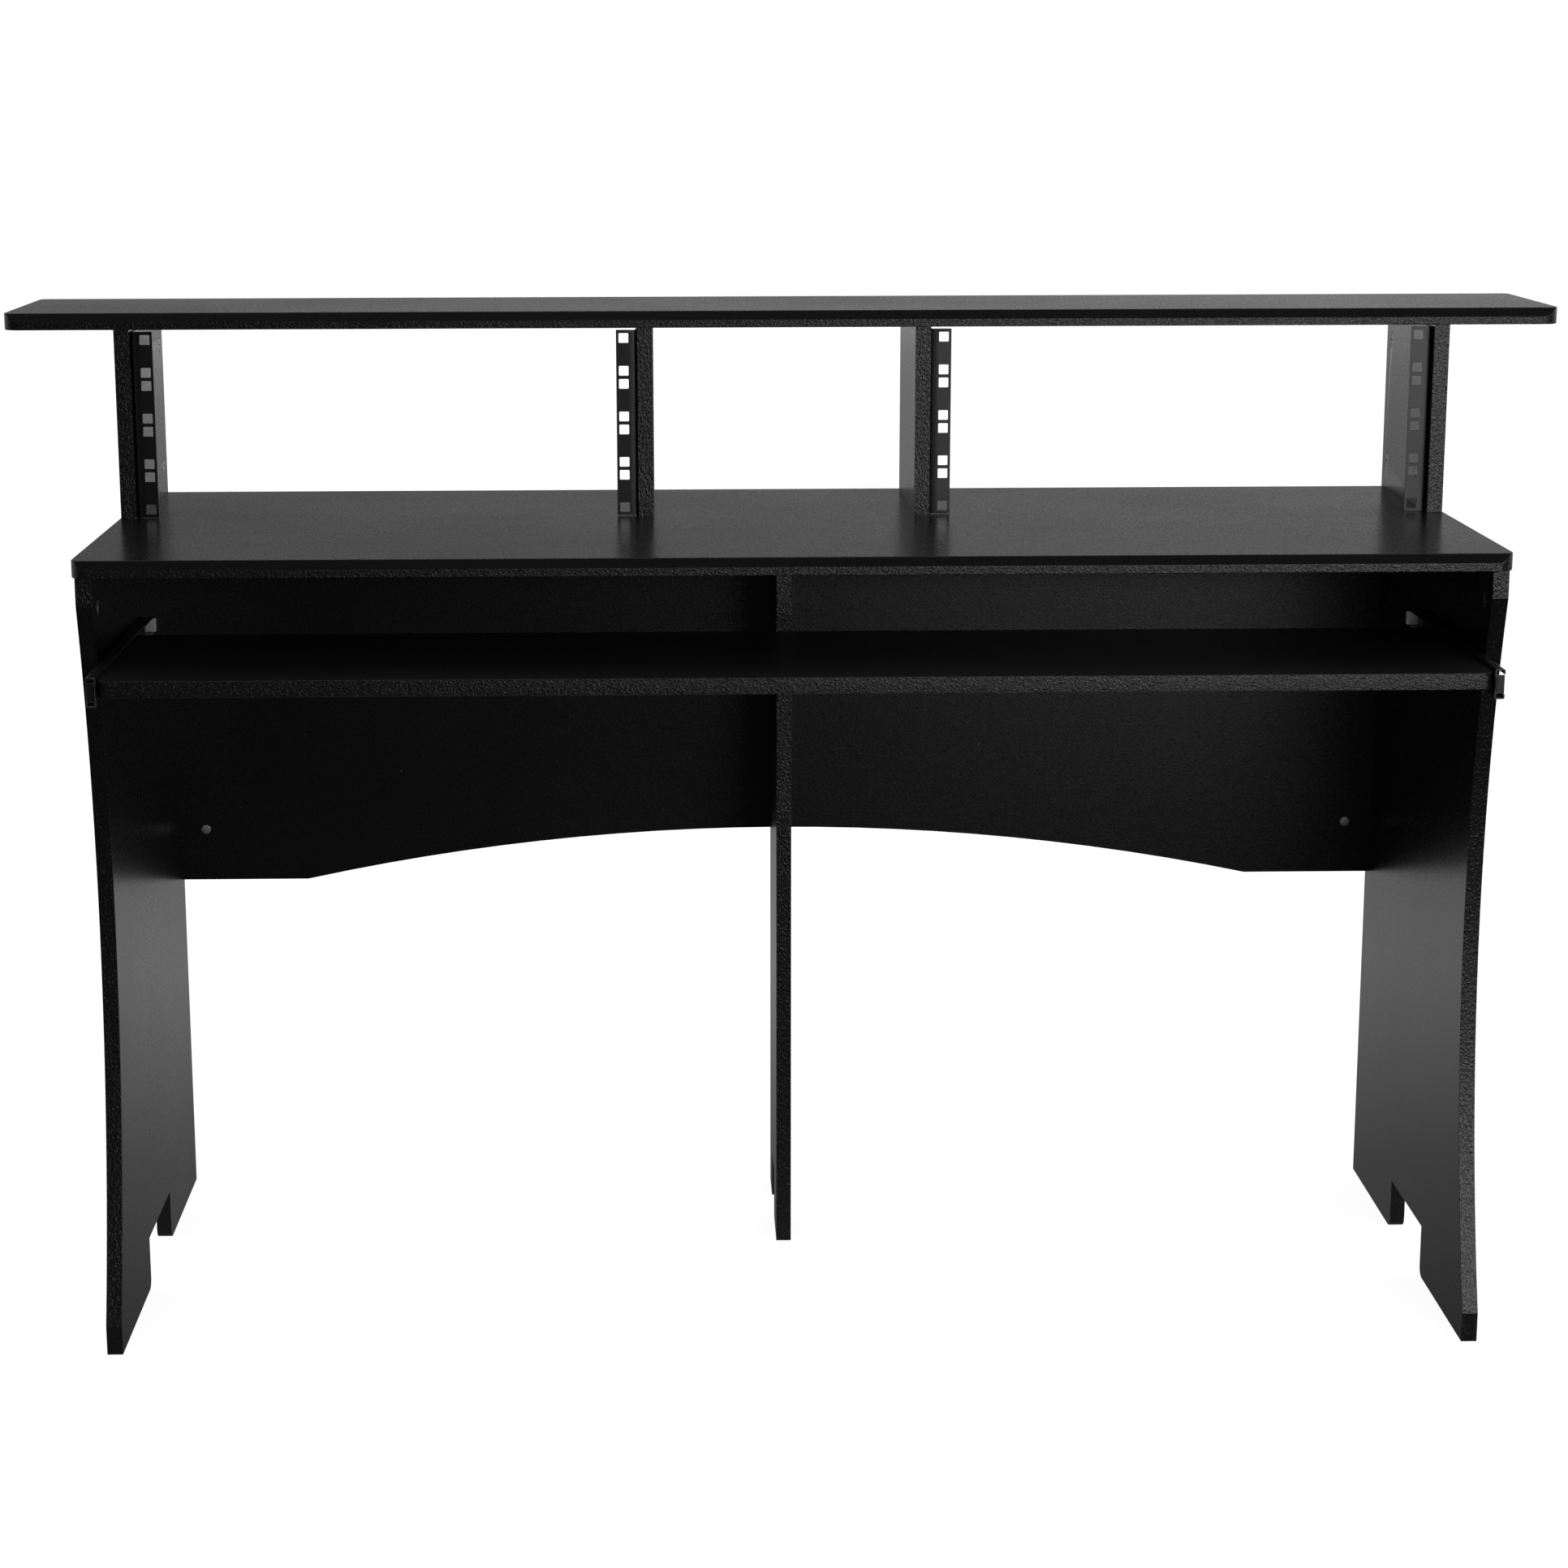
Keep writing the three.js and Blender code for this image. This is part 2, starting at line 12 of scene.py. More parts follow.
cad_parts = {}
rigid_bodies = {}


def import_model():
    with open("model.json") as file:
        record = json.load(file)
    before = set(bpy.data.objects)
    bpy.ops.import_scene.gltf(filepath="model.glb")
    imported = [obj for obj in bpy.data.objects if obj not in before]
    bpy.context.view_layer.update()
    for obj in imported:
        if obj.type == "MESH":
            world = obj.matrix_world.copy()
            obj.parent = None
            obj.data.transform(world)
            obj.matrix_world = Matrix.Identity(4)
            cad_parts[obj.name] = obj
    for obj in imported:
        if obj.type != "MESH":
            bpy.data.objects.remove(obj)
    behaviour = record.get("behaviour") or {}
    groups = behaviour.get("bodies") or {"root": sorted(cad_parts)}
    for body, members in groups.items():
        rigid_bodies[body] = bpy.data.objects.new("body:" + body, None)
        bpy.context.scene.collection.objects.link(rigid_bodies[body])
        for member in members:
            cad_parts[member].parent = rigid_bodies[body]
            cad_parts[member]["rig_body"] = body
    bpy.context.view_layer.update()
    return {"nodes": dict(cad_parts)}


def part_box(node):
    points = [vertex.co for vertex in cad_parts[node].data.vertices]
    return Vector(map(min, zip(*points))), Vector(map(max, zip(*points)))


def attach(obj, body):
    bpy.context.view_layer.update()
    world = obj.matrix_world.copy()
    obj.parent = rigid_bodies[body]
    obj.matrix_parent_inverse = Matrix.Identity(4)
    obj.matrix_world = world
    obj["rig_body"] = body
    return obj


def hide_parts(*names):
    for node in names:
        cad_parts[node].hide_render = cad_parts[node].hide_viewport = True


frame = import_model()

bl_info = {
    "name": "Studio desk",
    "version": (1, 0, 0),
    "blender": (4, 5, 0),
    "location": "3D View > Sidebar > Studio desk",
    "description": "Dresses the frame of a studio desk: boards, rack rails, slides, fittings and studio",
    "category": "Object",
}

MM = 0.001
WELD = 0.01 * MM
FLAT = math.radians(0.5)
SHARP = math.radians(38)
BOARD_SHARP = math.radians(26)
SIDES = ("left", "right")
ENDS = ("top", "bottom")
LENGTHWISE = ("front", "rear")
UPRIGHTS = ("outer_left", "inner_left", "inner_right", "outer_right")

# What the rack rails share with the frame
RACK_UNIT = 44.45 * MM
RACK_UNITS = 4
HOLE_FROM_UNIT_END = 6.35 * MM
HOLE_FROM_FREE_EDGE = 7.3 * MM
RAIL_END = 1.5 * MM
RAIL_STEEL = 2 * MM
RAIL_BEND = 3 * MM

# The radius of the tray's front corners, as in the frame
TRAY_CORNER = 10 * MM

# Fittings that only the looks have: the front cam locks, hidden behind the rails
FRONT_CAM_BEHIND = 60 * MM

# The camera of the photograph, whose image is a square
IMAGE_PIXELS = 1932
FOCAL_PIXELS = 4215.7
CENTRE_PIXELS = (906.2, 1062.9)
SENSOR = 36
CAMERA_PLACE = Vector((-0.11574, -3.28179, 1.18435))
CAMERA_YAW = 0.01997
CAMERA_PITCH = -0.22913
CAMERA_ROLL = -0.00265


def length(name, description, default, low=0.0, high=1.0, precision=4):
    """A setting in metres."""
    return FloatProperty(name=name, description=description, default=default, min=low, max=high,
                         unit="LENGTH", precision=precision)


def paint(name, description, *default):
    """A setting that is a colour."""
    return FloatVectorProperty(name=name, description=description, default=(*default, 1), subtype="COLOR",
                               size=4, min=0, max=1)


def brightness(name, description, default, high=1.0, unit="NONE"):
    """A setting that is a brightness, or a lamp's power."""
    return FloatProperty(name=name, description=description, default=default, min=0, max=high, unit=unit)


class DeskSizes(bpy.types.PropertyGroup):
    edge_radius: length("Edge rounding", "Radius of the boards' edges", 0.6 * MM, 0.1 * MM, 2 * MM)
    steel_radius: length("Steel rounding", "Radius of the rails' and slides' cut edges", 0.25 * MM,
                         0.05 * MM, 0.5 * MM)
    hole_width: length("Rack hole", "Width of the rails' square holes", 9.5 * MM, 8 * MM, 10 * MM)
    hole_corner: length("Rack hole corner", "Corner radius of the rails' square holes", 0.8 * MM,
                        0.1 * MM, 2 * MM)
    pearl_grain: length("Pearl grain", "Size of the grain on the melamine faces", 1.5 * MM, 0.2 * MM, 5 * MM)
    lipping_grain: length("Lipping grain", "Size of the grain on the flat boards' edges", 1.5 * MM,
                          0.2 * MM, 8 * MM)
    coarse_grain: length("Coarse grain", "Size of the wrinkles on the upright boards' edges", 2 * MM,
                         0.2 * MM, 8 * MM)
    tray_crown: length("Tray crown", "How far the tray's front edge bulges", 0.15 * MM, 0.01 * MM, 1 * MM, 5)
    fitting_sides: IntProperty(
        name="Fitting sides", description="Sides of the round fittings", default=32, min=12, max=64)


class DeskColours(bpy.types.PropertyGroup):
    board: paint("Melamine", "Colour of the boards' faces", 0.0022, 0.0022, 0.0023)
    lipping: paint("Lipping", "Colour of the boards' textured edges", 0.0016, 0.0016, 0.0017)
    rail: paint("Rails", "Colour of the powder coat", 0.0022, 0.0022, 0.0023)
    slide: paint("Slides", "Colour of the coated slides", 0.002, 0.002, 0.0021)
    # The bare steel also lightens the coated steel's rims, partly rubbed wear and partly a painted edge
    # highlight
    steel: paint("Bare steel", "Colour of balls, cages and rubbed edges", 0.55, 0.55, 0.54)
    zinc: paint("Zinc", "Colour of cam locks and barrel nuts", 0.5, 0.5, 0.49)
    nylon: paint("Nylon", "Colour of the slide stops", 0.42, 0.42, 0.41)
    dust: paint("Specks", "Colour of the specks of dust", 0.2, 0.2, 0.195)
    blackened: paint("Blackened steel", "Colour of screws and bolts", 0.03, 0.03, 0.031)


class StudioLevels(bpy.types.PropertyGroup):
    ambient: brightness("Ambient", "Brightness of the plain light from all sides", 0.7)
    backdrop: brightness("Backdrop", "Brightness of the backdrop's horizon in the desk's gloss", 1.35, 2)
    overhead: brightness("Overhead", "Brightness above and behind the desk in its gloss", 0.3)
    front: brightness("Front", "Brightness of the room in front of the desk in its gloss", 0.03)
    floor: brightness("Floor", "Brightness of the far floor in the desk's gloss", 0.41)
    key_power: brightness("Key", "Power of the soft light at the front right", 68, 1000, "POWER")
    top_power: brightness("Top", "Power of the soft light above", 5, 1000, "POWER")


def sizes():
    return bpy.context.scene.desk_sizes


def colours():
    return bpy.context.scene.desk_colours


# Node trees

# Where a colour Mix node has its factor, its two colours and its result
MIX_FACTOR, MIX_FIRST, MIX_SECOND, MIX_RESULT = 0, 6, 7, 2
NOISE_ROUGHNESS = 0.55


def add_node(tree, kind, inputs=None, **settings):
    """A node with its settings. An input, by name or number, gets a socket, a list of sockets or a value."""
    made = tree.nodes.new(kind)
    for key, value in settings.items():
        setattr(made, key, value)
    for key, value in (inputs or {}).items():
        if isinstance(value, (bpy.types.NodeSocket, list)):
            for socket in value if isinstance(value, list) else [value]:
                tree.links.new(socket, made.inputs[key])
        else:
            made.inputs[key].default_value = value
    return made


def new_group(name, kind, inputs, outputs):
    """A node group, its sockets in and out. Each input has a default, or the name of its type."""
    tree = bpy.data.node_groups.new(name, kind)
    types = {float: "Float", int: "Int", tuple: "Vector"}
    for label, default in inputs.items():
        plain = not isinstance(default, str)
        holds = types[type(default)] if plain else default
        made = tree.interface.new_socket(label, in_out="INPUT", socket_type="NodeSocket" + holds)
        if plain:
            made.default_value = default
    gives = "NodeSocketGeometry" if kind == "GeometryNodeTree" else "NodeSocketFloat"
    for label in outputs:
        tree.interface.new_socket(label, in_out="OUTPUT", socket_type=gives)
    return tree, tree.nodes.new("NodeGroupInput").outputs, tree.nodes.new("NodeGroupOutput").inputs


def giving(tree, result, **found):
    """The group, with what it gives linked to its outputs."""
    for label, socket in found.items():
        tree.links.new(socket, result[label])
    return tree


def maths(tree, operation, *operands, clamp=False):
    """A Math node's result. Each operand is a socket or a number."""
    return add_node(tree, "ShaderNodeMath", dict(enumerate(operands)), operation=operation,
                    use_clamp=clamp).outputs[0]


def times(tree, first, second, clamp=False):
    return maths(tree, "MULTIPLY", first, second, clamp=clamp)


def blended(tree, first, second, share):
    """Two values added up, the second one by its share."""
    return maths(tree, "ADD", times(tree, first, 1 - share), times(tree, second, share))


def ramp(tree, value, low, high, to_low=0.0, to_high=1.0):
    """A value carried from one range to another, clamped."""
    return add_node(tree, "ShaderNodeMapRange", {
        "Value": value, "From Min": low, "From Max": high, "To Min": to_low,
        "To Max": to_high}).outputs["Result"]


def scaled(tree, vector, factors):
    """A vector times another."""
    return add_node(tree, "ShaderNodeVectorMath", {0: vector, 1: factors}, operation="MULTIPLY").outputs[0]


def noise(tree, vector, scale, detail=2.0, distortion=0.0):
    """A noise texture's value."""
    return add_node(tree, "ShaderNodeTexNoise", {
        "Vector": vector, "Scale": scale, "Detail": detail, "Roughness": NOISE_ROUGHNESS,
        "Distortion": distortion}).outputs[0]


def mixed(tree, factor, first, second):
    """A mix of two colours. Each is a socket or four numbers."""
    return add_node(tree, "ShaderNodeMix", {MIX_FACTOR: factor, MIX_FIRST: first, MIX_SECOND: second},
                    data_type="RGBA").outputs[MIX_RESULT]


# Surface effects that several materials share

SPECK_SPACING = 38 * MM
SPECK_RADIUS = 0.9 * MM
# How far the hairline scratches are turned, and how their noise is stretched
SCRATCH_LINES = ((0.35, (3.0, 90.0, 90.0)), (-0.9, (2.0, 70.0, 70.0)))
SCRATCH_WIDTH = 0.006


def pearl_grain_group():
    """The fine orange peel of pressed melamine: its height and its brightest points."""
    broader = 0.37
    tree, has, result = new_group("Pearl grain", "ShaderNodeTree",
                                  {"Place": "Vector", "Grain Size": 1.5 * MM}, ("Height", "Flecks"))
    scale = maths(tree, "DIVIDE", 1.0, has["Grain Size"])
    fine = noise(tree, has["Place"], scale)
    broad = noise(tree, has["Place"], times(tree, scale, broader), detail=1.0)
    return giving(tree, result, Height=blended(tree, fine, broad, share=0.15),
                  Flecks=ramp(tree, fine, 0.55, 0.72))


def lipping_grain_group():
    """The wrinkles of textured lipping, drawn out along the edge by Stretch."""
    finer = 2.2
    tree, has, result = new_group(
        "Lipping grain", "ShaderNodeTree",
        {"Place": "Vector", "Grain Size": 2 * MM, "Stretch": (1, 1, 1)}, ("Height", "Flecks"))
    scale = maths(tree, "DIVIDE", 1.0, has["Grain Size"])
    wrinkles = noise(tree, scaled(tree, has["Place"], has["Stretch"]), scale, detail=1.5, distortion=0.6)
    grit = noise(tree, has["Place"], times(tree, scale, finer), detail=1.0)
    height = blended(tree, ramp(tree, wrinkles, 0.3, 0.7), grit, share=0.3)
    return giving(tree, result, Height=height, Flecks=ramp(tree, height, 0.5, 0.85))


def rim_wear_and_highlight_group():
    """Where a rounded edge is lighter, partly rubbed wear and partly a painted edge highlight: the rim
    attribute, broken up.
    """
    patches_per_metre = 28.0
    tree, has, result = new_group("Rim rubbing and highlight", "ShaderNodeTree", {"Place": "Vector", "Amount": 0.5}, ("Wear",))
    rim = add_node(tree, "ShaderNodeAttribute", attribute_type="GEOMETRY", attribute_name="rim")
    patches = ramp(tree, noise(tree, has["Place"], patches_per_metre, detail=4.0), 0.38, 0.62)
    worn_and_highlit = times(tree, rim.outputs["Fac"], patches)
    return giving(tree, result, Wear=times(tree, worn_and_highlit, has["Amount"], clamp=True))


def marks_group():
    """A film of dust, sparse specks and hairline scratches, each as a mask."""
    drifts_per_metre, scratched_per_metre = 5.0, 9.0
    tree, has, result = new_group("Marks", "ShaderNodeTree",
                                  {"Place": "Vector", "Dust": 0.3, "Scratches": 0.3},
                                  ("Dust", "Specks", "Scratches"))
    place = has["Place"]
    drift = ramp(tree, noise(tree, place, drifts_per_metre, detail=3.0), 0.42, 0.7)
    cells = add_node(tree, "ShaderNodeTexVoronoi", {"Vector": place, "Scale": 1 / SPECK_SPACING})
    reach = SPECK_RADIUS / SPECK_SPACING
    lines = []
    for angle, stretch in SCRATCH_LINES:
        turned = add_node(tree, "ShaderNodeVectorRotate", {"Vector": place, "Angle": angle},
                          rotation_type="Z_AXIS")
        field = noise(tree, scaled(tree, turned.outputs["Vector"], stretch), 1.0, detail=0.0)
        off_line = maths(tree, "ABSOLUTE", maths(tree, "SUBTRACT", field, 0.5))
        lines.append(ramp(tree, off_line, 0.0, SCRATCH_WIDTH, 1.0, 0.0))
    where = ramp(tree, noise(tree, place, scratched_per_metre), 0.55, 0.66)
    scratches = times(tree, maths(tree, "MAXIMUM", *lines), where)
    return giving(tree, result, Dust=times(tree, drift, has["Dust"], clamp=True),
                  Specks=ramp(tree, cells.outputs["Distance"], reach * 0.5, reach, 1.0, 0.0),
                  Scratches=times(tree, scratches, has["Scratches"], clamp=True))


def effect(tree, name, place, values):
    """A shared effect placed in a material, with its own values."""
    return add_node(tree, "ShaderNodeGroup", {"Place": place, **values}, node_tree=shared(name)).outputs


# Materials

# Melamine, lipping and powder coat shine a little more, seen square on, than a shader's plain 0.5
BOARD_GLOSS = 0.62
NYLON_IOR = 1.53

# Colours that marks leave on melamine, and how far dust covers and dulls it
DUST_FILM = (0.012, 0.012, 0.012, 1)
SCRATCH_COLOUR = (0.045, 0.045, 0.045, 1)
DUST_COVERS = 0.2
DUST_DULLS = 0.12
SPECK_COVERS = 0.6


def start_material(name, constants):
    """A material with its shader's plain numbers set, and the object's coordinates."""
    material = bpy.data.materials.new(name)
    material.use_nodes = True
    tree = material.node_tree
    shader = tree.nodes["Principled BSDF"]
    for key, value in constants.items():
        shader.inputs[key].default_value = value
    place = add_node(tree, "ShaderNodeTexCoord").outputs["Object"]
    return material, tree, shader, place


def dressed(tree, shader, colour, roughness, height, relief, metallic=None):
    """Links a shader's colour, roughness and relief, whose strength and depth come as a pair."""
    strength, depth = relief
    bump = add_node(tree, "ShaderNodeBump", {"Height": height, "Strength": strength, "Distance": depth})
    tree.links.new(colour, shader.inputs["Base Color"])
    tree.links.new(roughness, shader.inputs["Roughness"])
    tree.links.new(bump.outputs["Normal"], shader.inputs["Normal"])
    if metallic:
        tree.links.new(metallic, shader.inputs["Metallic"])


def lighter(colour, times_as_light):
    return (*(min(1.0, part * times_as_light) for part in colour[:3]), 1.0)


def grained(name, colour, grain, flecks, wear_and_highlight, rough, relief, marks=None, bright=False):
    """A coat with a grain, lighter flecks on it and lighter rims that are partly rubbed wear and partly a
    painted edge highlight.

    grain is an effect and its values, flecks their cover and how much lighter they are, wear_and_highlight
    the amount and colour of the lighter rims, rough a ramp over the grain's height, relief its strength and
    depth, and marks the amounts of dust and scratches. Where bright is set, the rims turn to bare metal,
    partly rubbed wear and partly a painted edge highlight."""
    if name in bpy.data.materials:
        return bpy.data.materials[name]
    material, tree, shader, place = start_material(name, {"Specular IOR Level": BOARD_GLOSS})
    kind, values = grain
    peel = effect(tree, kind, place, values)
    rim = effect(tree, "Rim rubbing and highlight", place, {"Amount": wear_and_highlight[0]})["Wear"]
    cover, how_much = flecks
    tint = mixed(tree, times(tree, peel["Flecks"], cover), colour, lighter(colour, how_much))
    dull = ramp(tree, peel["Height"], *rough)
    if marks:
        film = effect(tree, "Marks", place, marks)
        tint = mixed(tree, times(tree, film["Dust"], DUST_COVERS), tint, DUST_FILM)
        tint = mixed(tree, film["Scratches"], tint, SCRATCH_COLOUR)
        dull = maths(tree, "ADD", dull, times(tree, film["Dust"], DUST_DULLS), clamp=True)
    tint = mixed(tree, rim, tint, wear_and_highlight[1])
    if marks:
        tint = mixed(tree, times(tree, film["Specks"], SPECK_COVERS), tint, colours().dust)
    dressed(tree, shader, tint, dull, peel["Height"], relief, rim if bright else None)
    return material


def pearl(size):
    return "Pearl grain", {"Grain Size": size}


def melamine(name, roughness=0.25, dust=0.15, scratches=0.04, depth=0.08 * MM):
    """Black pearl-textured melamine."""
    colour = colours().board
    return grained(name, colour, pearl(sizes().pearl_grain), flecks=(0.5, 2.5),
                   wear_and_highlight=(0.5, lighter(colour, 4)), relief=(0.6, depth),
                   rough=(0.3, 0.7, roughness - 0.03, roughness + 0.05),
                   marks={"Dust": dust, "Scratches": scratches})


def lipping(name, grain_size, stretch, depth, roughness=0.28):
    """The textured lipping of the boards' edges, its wrinkles drawn out a little along the edge."""
    colour = colours().lipping
    return grained(name, colour, ("Lipping grain", {"Grain Size": grain_size, "Stretch": stretch}),
                   flecks=(0.6, 2.4), wear_and_highlight=(0.7, lighter(colour, 4)),
                   rough=(0.2, 0.8, roughness + 0.06, roughness - 0.06), relief=(0.7, depth))


def smooth_bevel():
    """The smooth bevel along the fronts of desktop and shelf."""
    colour = colours().board
    return grained("Smooth bevel", colour, pearl(sizes().pearl_grain * 0.6), flecks=(0.3, 2),
                   wear_and_highlight=(0.3, lighter(colour, 3)), rough=(0.3, 0.7, 0.24, 0.3), relief=(0.4, 0.03 * MM))


def powder_coat():
    """The rails' black powder coat, with a soft peel and lighter rims, round the holes too, that are partly
    rubbed wear and partly a painted edge highlight.
    """
    colour = colours().rail
    return grained("Powder coat", colour, pearl(0.7 * MM), flecks=(0.4, 2), wear_and_highlight=(0.8, lighter(colour, 8)),
                   rough=(0.3, 0.7, 0.28, 0.36), relief=(0.5, 0.05 * MM))


def coated_steel(name, colour, roughness, rubbed_and_highlight):
    """Coated steel whose rims turn to bright bare steel, partly rubbed wear and partly a painted edge
    highlight.
    """
    return grained(name, colour, pearl(0.8 * MM), flecks=(0.3, 2), wear_and_highlight=(rubbed_and_highlight, colours().steel),
                   rough=(0.3, 0.7, roughness - 0.04, roughness + 0.06), relief=(0.4, 0.03 * MM), bright=True)


def bare_metal(name, colour, roughness, mottle):
    """Bare zinc or steel, mottled by handling."""
    if name in bpy.data.materials:
        return bpy.data.materials[name]
    material, tree, shader, place = start_material(name, {"Metallic": 1.0})
    patches = noise(tree, place, 260.0, detail=4.0)
    tint = mixed(tree, ramp(tree, patches, 0.4, 0.68, 0.0, mottle), colour, lighter(colour, 0.45))
    dull = ramp(tree, patches, 0.3, 0.7, roughness - 0.08, roughness + 0.12)
    dressed(tree, shader, tint, dull, noise(tree, place, 1500.0), (0.4, 0.02 * MM))
    return material


def zinc_plate():
    return bare_metal("Zinc", colours().zinc, 0.42, 0.6)


def moulded_nylon():
    """The slide stops' light grey nylon."""
    name = "Moulded nylon"
    if name in bpy.data.materials:
        return bpy.data.materials[name]
    material, tree, shader, place = start_material(name, {"IOR": NYLON_IOR})
    colour = colours().nylon
    haze = noise(tree, place, 180.0, detail=3.0)
    wear_and_highlight = effect(tree, "Rim rubbing and highlight", place, {"Amount": 0.5})["Wear"]
    tint = mixed(tree, ramp(tree, haze, 0.4, 0.7, 0.0, 0.4), colour, lighter(colour, 0.72))
    tint = mixed(tree, wear_and_highlight, tint, lighter(colour, 1.35))
    dressed(tree, shader, tint, ramp(tree, haze, 0.3, 0.7, 0.42, 0.58), noise(tree, place, 2200.0),
            (0.3, 0.03 * MM))
    return material


# Meshes

# The material slot that rounding fills, and how square on to an axis a face left flat is
RIM_SLOT = 1
SQUARE_ON = 0.995
# How square on a board's face is, where its edges aren't
WIDE_FACE = 0.8
RECESS_SIDES = 24


def node_body(node):
    return frame["nodes"][node]["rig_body"]


def new_piece(name, shape):
    """An object at the origin from a bmesh."""
    mesh = bpy.data.meshes.new(name)
    shape.to_mesh(mesh)
    shape.free()
    piece = bpy.data.objects.new(name, mesh)
    bpy.context.scene.collection.objects.link(piece)
    return piece


def merged_copy(node):
    """A frame node's solid as one closed surface with its flat faces joined up."""
    shape = bmesh.new()
    shape.from_mesh(frame["nodes"][node].data)
    bmesh.ops.remove_doubles(shape, verts=shape.verts, dist=WELD)
    bmesh.ops.dissolve_limit(shape, angle_limit=FLAT, verts=shape.verts, edges=shape.edges)
    return shape


def baked(piece):
    """The piece with its modifiers turned into plain mesh."""
    graph = bpy.context.evaluated_depsgraph_get()
    graph.update()
    mesh = bpy.data.meshes.new_from_object(piece.evaluated_get(graph))
    mesh.name = piece.name
    piece.modifiers.clear()
    piece.data = mesh
    return piece


def rounded(piece, radius, segments=2, sharp=SHARP):
    """Rounds the sharp edges and marks the rounded faces in the rim attribute."""
    while len(piece.data.materials) <= RIM_SLOT:
        piece.data.materials.append(None)
    for polygon in piece.data.polygons:
        polygon.material_index = 0
    piece.data.shade_smooth()
    piece.data.set_sharp_from_angle(angle=sharp)
    bevel = piece.modifiers.new("Rounded edges", "BEVEL")
    bevel.width = radius
    bevel.segments = segments
    bevel.limit_method = "ANGLE"
    bevel.angle_limit = sharp
    bevel.harden_normals = True
    bevel.material = RIM_SLOT
    baked(piece)
    rim = piece.data.attributes.new("rim", "FLOAT", "FACE")
    worn_and_highlit = [face.material_index == RIM_SLOT and max(map(abs, face.normal)) < SQUARE_ON
            for face in piece.data.polygons]
    rim.data.foreach_set("value", [float(rubbed_and_highlight) for rubbed_and_highlight in worn_and_highlit])
    return piece


def kept_within(piece, node):
    """Draws in what the rounding put a hair outside the frame node's box."""
    low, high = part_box(node)
    for vertex in piece.data.vertices:
        vertex.co = [min(max(part, least), most) for part, least, most in zip(vertex.co, low, high)]


def finish(piece, materials, choose=lambda normal: 0):
    """Gives each face its material: choose takes the face's normal and gives a number."""
    piece.data.materials.clear()
    for material in materials:
        piece.data.materials.append(material)
    for polygon in piece.data.polygons:
        polygon.material_index = choose(polygon.normal)


def settle(piece, slot, *nodes):
    """The piece stands for its frame nodes and rides on their body."""
    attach(piece, node_body(nodes[0]))
    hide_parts(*nodes)


def recess(piece, spots, radius, depth):
    """Cuts round recesses: each spot is a point on a face and the way out of it."""
    cutter_shape = bmesh.new()
    for point, facing in spots:
        turn = facing.to_track_quat("Z", "Y").to_matrix().to_4x4()
        place = Matrix.Translation(point - facing * (depth / 2 - MM)) @ turn
        bmesh.ops.create_cone(cutter_shape, cap_ends=True, segments=RECESS_SIDES, radius1=radius,
                              radius2=radius, depth=depth + 2 * MM, matrix=place)
    cutter = new_piece("cutter", cutter_shape)
    cut = piece.modifiers.new("Recesses", "BOOLEAN")
    cut.operation = "DIFFERENCE"
    cut.solver = "EXACT"
    cut.object = cutter
    baked(piece)
    bpy.data.objects.remove(cutter)


def crowned(shape, node, corner, crown, strips=6):
    """Bulges a flat board's front edge, round its corners too, by drawing in its top and bottom."""
    shape.normal_update()
    low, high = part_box(node)
    front = [face for face in shape.faces
             if abs(face.normal.z) < 0.5 and face.calc_center_median().y < low.y + corner]
    parts = list({part for face in front for part in (face, *face.edges, *face.verts)})
    for step in range(1, strips):
        level = low.z + (high.z - low.z) * step / strips
        parts = bmesh.ops.bisect_plane(shape, geom=parts, plane_co=(0, 0, level), plane_no=(0, 0, 1))["geom"]
    for vertex in shape.verts:
        behind = vertex.co.y - (low.y + corner)
        if behind < -WELD:
            beside = max(0.0, abs(vertex.co.x) - (high.x - corner))
            outward = Vector((math.copysign(beside, vertex.co.x), behind, 0)).normalized()
            from_middle = 2 * (vertex.co.z - low.z) / (high.z - low.z) - 1
            vertex.co += outward * outward.y * crown * from_middle ** 2


def board(name, node, thickness_axis, materials, choose=None, spots=(), crown=0.0):
    """A board: the frame's solid with rounded edges, its faces and lipped edges finished."""
    shape = merged_copy(node)
    if crown:
        crowned(shape, node, TRAY_CORNER, crown)
    piece = new_piece(name, shape)
    if spots:
        recess(piece, spots, CAM_RADIUS + CAM_GAP, CAM_DEPTH)
    rounded(piece, sizes().edge_radius, sharp=BOARD_SHARP)
    kept_within(piece, node)
    finish(piece, materials, choose or (lambda normal: 0 if abs(normal[thickness_axis]) > WIDE_FACE else 1))
    settle(piece, "board", node)


# Fittings by Geometry Nodes

CAM_RADIUS = 7.2 * MM
CAM_GAP = 0.3 * MM
CAM_DEPTH = 12 * MM
SOCKET_SIDES = 6
SHANK_SIDES = 12
BALL_SEGMENTS = 20
BALL_RINGS = 12
HOLE_CORNER_STEPS = 3
PUNCH_DEPTH = 8 * MM
QUARTER_TURN = math.pi / 2
# How deep the groove of a cam lock is, as a share of its cross
GROOVE_SHARE = 0.4
HEAD_SHARP = math.radians(30)


def vector(tree, **parts):
    """A vector from its X, Y and Z, of which those not named are nothing."""
    return add_node(tree, "ShaderNodeCombineXYZ", parts).outputs[0]


def upward(tree, height):
    return vector(tree, Z=height)


def joined(tree, *shapes):
    return add_node(tree, "GeometryNodeJoinGeometry", {0: list(shapes)}).outputs[0]


def moved(tree, shape, way, turn=(0, 0, 0)):
    return add_node(tree, "GeometryNodeTransform",
                    {"Geometry": shape, "Translation": way, "Rotation": turn}).outputs[0]


def painted(tree, shape, material):
    return add_node(tree, "GeometryNodeSetMaterial", {"Geometry": shape, "Material": material}).outputs[0]


